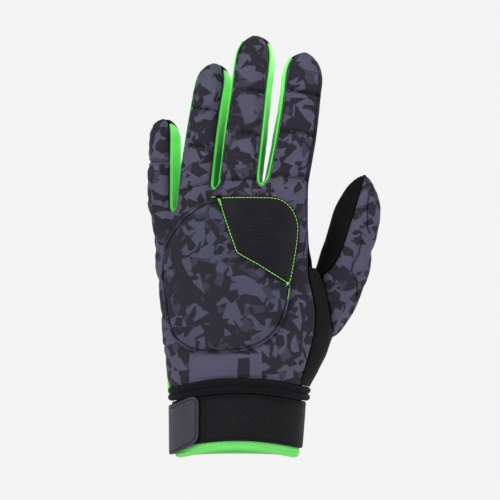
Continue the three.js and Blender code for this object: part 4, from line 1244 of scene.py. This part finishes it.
patch = rounded_sheet("knuckle_patch", "leather_knuckle_patch", SUEDE, 4, crisp=True)
PATCH_STITCHES = pixel_line([
    (219.3, 198.7), (228, 198.4), (245, 198.3), (262, 198.4), (270, 198.5), (279, 200), (286, 204),
    (291.7, 210.5), (295, 217.4), (296.6, 223), (297, 229), (296.3, 239), (295, 249.6), (292.9, 262),
    (290.5, 274.8), (288.8, 283.4), (274, 274.2), (259.7, 265), (248, 258.6), (237.3, 252.5), (231, 235),
    (225, 217.5), (219.3, 198.7)])


def edge_beside(piece, drawn, beyond, blend):
    """Moves a sheet's edge to just beyond a closed line of the drawing, and the cloth near it with it."""
    drawn = resample([Vector((x, 0, z)) * MM for x, z in drawn], 0.3 * MM)[:-1]
    count = len(drawn)
    area = sum(drawn[i - 1].x * drawn[i].z - drawn[i].x * drawn[i - 1].z for i in range(count))
    turn = -1 if area > 0 else 1
    line_tree = tree_of_places(drawn)
    rim = [piece.data.vertices[n].co.copy() for loop in rim_loops(piece.data) for n in loop]
    rim_tree = tree_of_places(rim)
    moves = []
    for place in rim:
        flat = Vector((place.x, 0, place.z))
        nearest, k, _ = line_tree.find(flat)
        along = (drawn[(k + 3) % count] - drawn[k - 3]).normalized()
        outward = Vector((-along.z, 0, along.x)) * turn
        moves.append(nearest + outward * beyond - flat)
    places = points_of(piece.data)
    for i, place in enumerate(places):
        _, number, far = rim_tree.find(place)
        places[i] = Vector(place) + moves[number] * max(0, 1 - far / blend)
    set_points(piece.data, places)
    return piece


edge_beside(patch, PATCH_STITCHES, 0.95 * MM, 6 * MM)
tuck(patch, 0.9, 0.55)
patch_seam, _ = laid_on(tree_of(patch), PATCH_STITCHES, step=0.4)
press_seams(patch, [patch_seam], 0.5, 0.3, 0.05, 2, 2)
patch_top = tree_of(patch)
line, outs = laid_on(patch_top, PATCH_STITCHES, step=0.4)
lime.row(line, outs, 2.0, 1.3, 0.62, 0.1)
for tack in ([(219.3, 198.7), (221.6, 206)], [(286.6, 281.6), (288.8, 287.5)]):
    line, outs = laid_on(patch_top, pixel_line(tack), step=0.3)
    if len(line) > 3:
        lime.row(line, outs, 0.42, 1.5, 0.5, 0.18, across=0.85)
sew_up(patch, CLOTH, "knuckle_patch", PATCH, smooth=50)

ripple(pad, 0.35, 12, 21)
ripple(pad, 0.12, 4, 22)
pad_drawing = inset_drawing(pad, 1.3)
pad_seam, _ = laid_on(tree_of(pad), pad_drawing, closed=True)
press_seams(pad, [pad_seam], 0.8, 1.1, 0.3, 3.4, 5)
# Painted shade: the pad's print is darkened along its stitched groove.
pad_line = Lines([pad_seam])
near_seam = np.array([pad_line.nearest(place)[0] for place in points_of(pad.data)])
mark(pad, "black_edge_and_seam_shade", 0.75 * np.exp(-((near_seam / (0.75 * MM)) ** 2)))
pad_seam, pad_outs = laid_on(tree_of(pad), pad_drawing, closed=True)
seen = [([], [])]
for place, out in zip(pad_seam + pad_seam[:1], pad_outs + pad_outs[:1]):
    if patch_top.ray_cast(place - Vector((0, 0.03, 0)), Vector((0, 1, 0)), 0.05)[0] is None:
        seen[-1][0].append(place)
        seen[-1][1].append(out)
    else:
        seen.append(([], []))
for line, outs in seen:
    if len(line) > SHORTEST_RUN:
        black.row(line, outs, 1.9, 1.4, 0.55, 0.15)
sew_up(pad, 1.6 * MM, "back_pad", PAD_PRINT)

ends_tree = tree_of(pad)
LOOSE_ENDS = (
    [(288.6, 288), (288.2, 292.5), (287, 298.5)],
    [(218.6, 198.2), (215.5, 197.2), (212, 197.6)],
)
for loose_end in LOOSE_ENDS:
    line, outs = laid_on(ends_tree, pixel_line(loose_end), step=0.4)
    if len(line) < 4:
        line, outs = laid_on(tree_of(back), pixel_line(loose_end), step=0.4)
    if len(line) > 3:
        lime.row(line, outs, 1.6, 1.5, 0.5, 0.2)

cuff = rounded_sheet("cuff", "neoprene_cuff", 2.5 * MM, 3)
sew_up(cuff, 2.5 * MM, "cuff", CUFF, smooth=50)


def evenly_green(piece):
    """Keeps a green piece clear of the painted shade and painted light of the finger strips."""
    count = len(piece.data.vertices)
    mark(piece, "painted_fork_shading", np.full(count, 0.4))
    mark(piece, "inner", np.zeros(count))


hem = closed_copy("hem_binding", "green_hem_binding", 3)
places = points_of(hem.data)
normals = normals_of(hem.data)
places += normals * 0.45 * MM
places[:, 2] += 1.6 * MM * ease(normals[:, 2], -0.3, 0.9)
set_points(hem.data, places)
evenly_green(hem)
hem_tree = tree_of(hem)


def ring_line(tree, height_at):
    """A line round the wrist at a height given by the way round, found on the outside of a ring."""
    line, outs = [], []
    for step in range(361):
        turn = math.radians(step)
        away = Vector((math.sin(turn), -math.cos(turn), 0))
        start = away * 0.08 + Vector((0, 0, height_at(turn)))
        hit, normal, _, _ = tree.ray_cast(start, -away, 0.08)
        if hit is not None:
            line.append(hit)
            outs.append(normal if normal.dot(away) > 0 else -normal)
    return line, outs


def wrist_height(low):
    """The height of a line round the wrist, which rises over the back of the hand."""
    return lambda turn: low * MM + WRIST_RISE * max(0.0, math.cos(turn)) ** 2


HEM_SEAM = wrist_height(3.3)
hem_seam, _ = ring_line(hem_tree, HEM_SEAM)
press_seams(hem, [hem_seam], 0.4, 0.35, 0.07, 2.2, 2.4)
line, outs = ring_line(tree_of(hem), HEM_SEAM)
green_rows.row(line, outs, 2.1, 1.6, 0.4, 0.05)
dress(hem, "hem_binding", BINDING_GREEN)

for level, seed in (("lower", 31), ("upper", 32)):
    node = f"wrist_roll_{level}"
    roll = closed_copy(node, f"{level}_wrist_roll", 3)
    raise_cloth(roll, 0.45 * MM + 0.15 * MM * soft_noise(points_of(roll.data), 6 * MM, seed))
    dress(roll, node, CUFF)


def wrap_round_wrist(piece):
    """Gives a piece a map that runs round the wrist in metres, so ribs keep their size."""
    mesh = piece.data
    layer = mesh.uv_layers.new(name="round_wrist")
    for polygon in mesh.polygons:
        middle = math.atan2(polygon.center.x, -polygon.center.y)
        for loop in polygon.loop_indices:
            place = mesh.vertices[mesh.loops[loop].vertex_index].co
            angle = math.atan2(place.x, -place.y)
            if angle - middle > math.pi:
                angle -= math.tau
            elif middle - angle > math.pi:
                angle += math.tau
            layer.data[loop].uv = (angle * WRIST_RADIUS, place.z)


strap = rounded_sheet("wrist_strap", "elastic_wrist_strap", 2.2 * MM, 4)
places = points_of(strap.data)
rise = WRIST_RISE * np.maximum(0, -places[:, 1] / np.hypot(places[:, 0], places[:, 1])) ** 2
heights = places[:, 2] - rise
places[:, 2] -= 1.3 * MM * ease(-heights, -20 * MM, -heights.min())
set_points(strap.data, places)
tuck(strap, 0.8, 0.7)
strap_tree = tree_of(strap)
for low in (7.2, 30.2):
    line, outs = ring_line(strap_tree, wrist_height(low))
    black.row(line, outs, 1.5, 1.1, 0.35, 0.02)
thicken(strap, 1.9 * MM)
wrap_round_wrist(strap)
dress(strap, "wrist_strap", STRAP, smooth=50)

tab = rounded_sheet("strap_tab", "leather_strap_tab", 2.2 * MM, 4)
tuck(tab, 0.8, 0.6)
tab_seam, _ = inset_line(tab, 1.9 * MM)
press_seams(tab, [tab_seam], 0.5, 0.22, 0.04, 1.6, 2)
tab_seam, tab_outs = inset_line(tab, 1.9 * MM)
black.row(tab_seam, tab_outs, 2.05, 1.2, 0.6, 0.12)
sew_up(tab, 2.0 * MM, "strap_tab", TAB, smooth=50)

pull = closed_copy("pull_tab", "green_pull_loop", 2)
places = points_of(pull.data)
heights = places[:, 2]
share = (heights.max() - heights) / (heights.max() - heights.min())
places[:, 2] -= (3.5 + 5.5 * share) * MM
places[:, 0] += (0.6 - 0.4 * share) * MM
set_points(pull.data, places)
evenly_green(pull)
dress(pull, "pull_tab", BINDING_GREEN, smooth=50)

for thread, slot_name in ((black, "palm_leather"), (lime, "green_binding"), (overlock, "palm_leather"),
                          (green_rows, "green_binding")):
    sewn = thread.finished()
    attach(sewn, "root")

# The studio: pale floor, soft lights and the camera

bpy.ops.object.select_all(action="DESELECT")
bpy.ops.mesh.primitive_cylinder_add(vertices=96, radius=4.6, depth=1.2, location=(0, 0, 0.51))
floor = bpy.context.object
floor.name = "pale_floor"
bpy.ops.object.transform_apply(location=True, rotation=True, scale=True)
pick_faces(floor.data, lambda polygon: polygon.normal.z > 0.9)
edit_faces(None)
bpy.ops.mesh.delete(type="FACE")
bpy.ops.mesh.select_all(action="SELECT")
bpy.ops.mesh.flip_normals()
leave_edit()
paper = Finish("pale_paper", roughness=0.9, specular=0.0)
paper.colour(paper.mix(paper.noise(0.4, 2), (0.003, 0.003, 0.003), (0.005, 0.005, 0.005)))
paper.shader.node.inputs["Emission Color"].default_value = (1, 1, 1, 1)
paper.shader.node.inputs["Emission Strength"].default_value = 0.898
floor.data.materials.append(paper.material)

scene = bpy.context.scene
scene.view_settings.view_transform = "Standard"
world = bpy.data.worlds.new("soft_room")
scene.world = world
world.use_nodes = True
world.node_tree.nodes["Background"].inputs["Color"].default_value = (1, 1, 1, 1)
world.node_tree.nodes["Background"].inputs["Strength"].default_value = 0.32


def softbox(name, place, size, power):
    """A soft lamp that faces the glove's middle."""
    lamp = bpy.data.lights.new(name, "AREA")
    lamp.shape = "RECTANGLE"
    lamp.size = size[0]
    lamp.size_y = size[1]
    lamp.energy = power
    box = bpy.data.objects.new(name, lamp)
    box.location = place
    box.rotation_euler = (Vector((0, 0, 0.12)) - Vector(place)).to_track_quat("-Z", "Y").to_euler()
    scene.collection.objects.link(box)


softbox("left_softbox", (-1.1, -0.9, 0.55), (0.6, 1.0), 15)
softbox("right_softbox", (1.2, -0.7, 0.45), (0.6, 1.0), 11)
softbox("top_softbox", (0, -0.5, 1.3), (0.9, 0.6), 6)
softbox("back_softbox", (0.7, 1.4, 0.9), (0.7, 0.7), 18)

CAMERA_DISTANCE = 1.3
SEEN_WIDTH = 0.285
lens = bpy.data.cameras.new("picture_camera")
lens.sensor_width = 36
lens.lens = lens.sensor_width * CAMERA_DISTANCE / SEEN_WIDTH
lens.sensor_fit = "HORIZONTAL"
lens.clip_start = 0.05
lens.clip_end = 50
camera = bpy.data.objects.new("picture_camera", lens)
camera.location = (0.0074, -CAMERA_DISTANCE, 0.118)
camera.rotation_euler = (math.pi / 2, 0, 0)
scene.collection.objects.link(camera)
scene.camera = camera

bpy.context.view_layer.update()
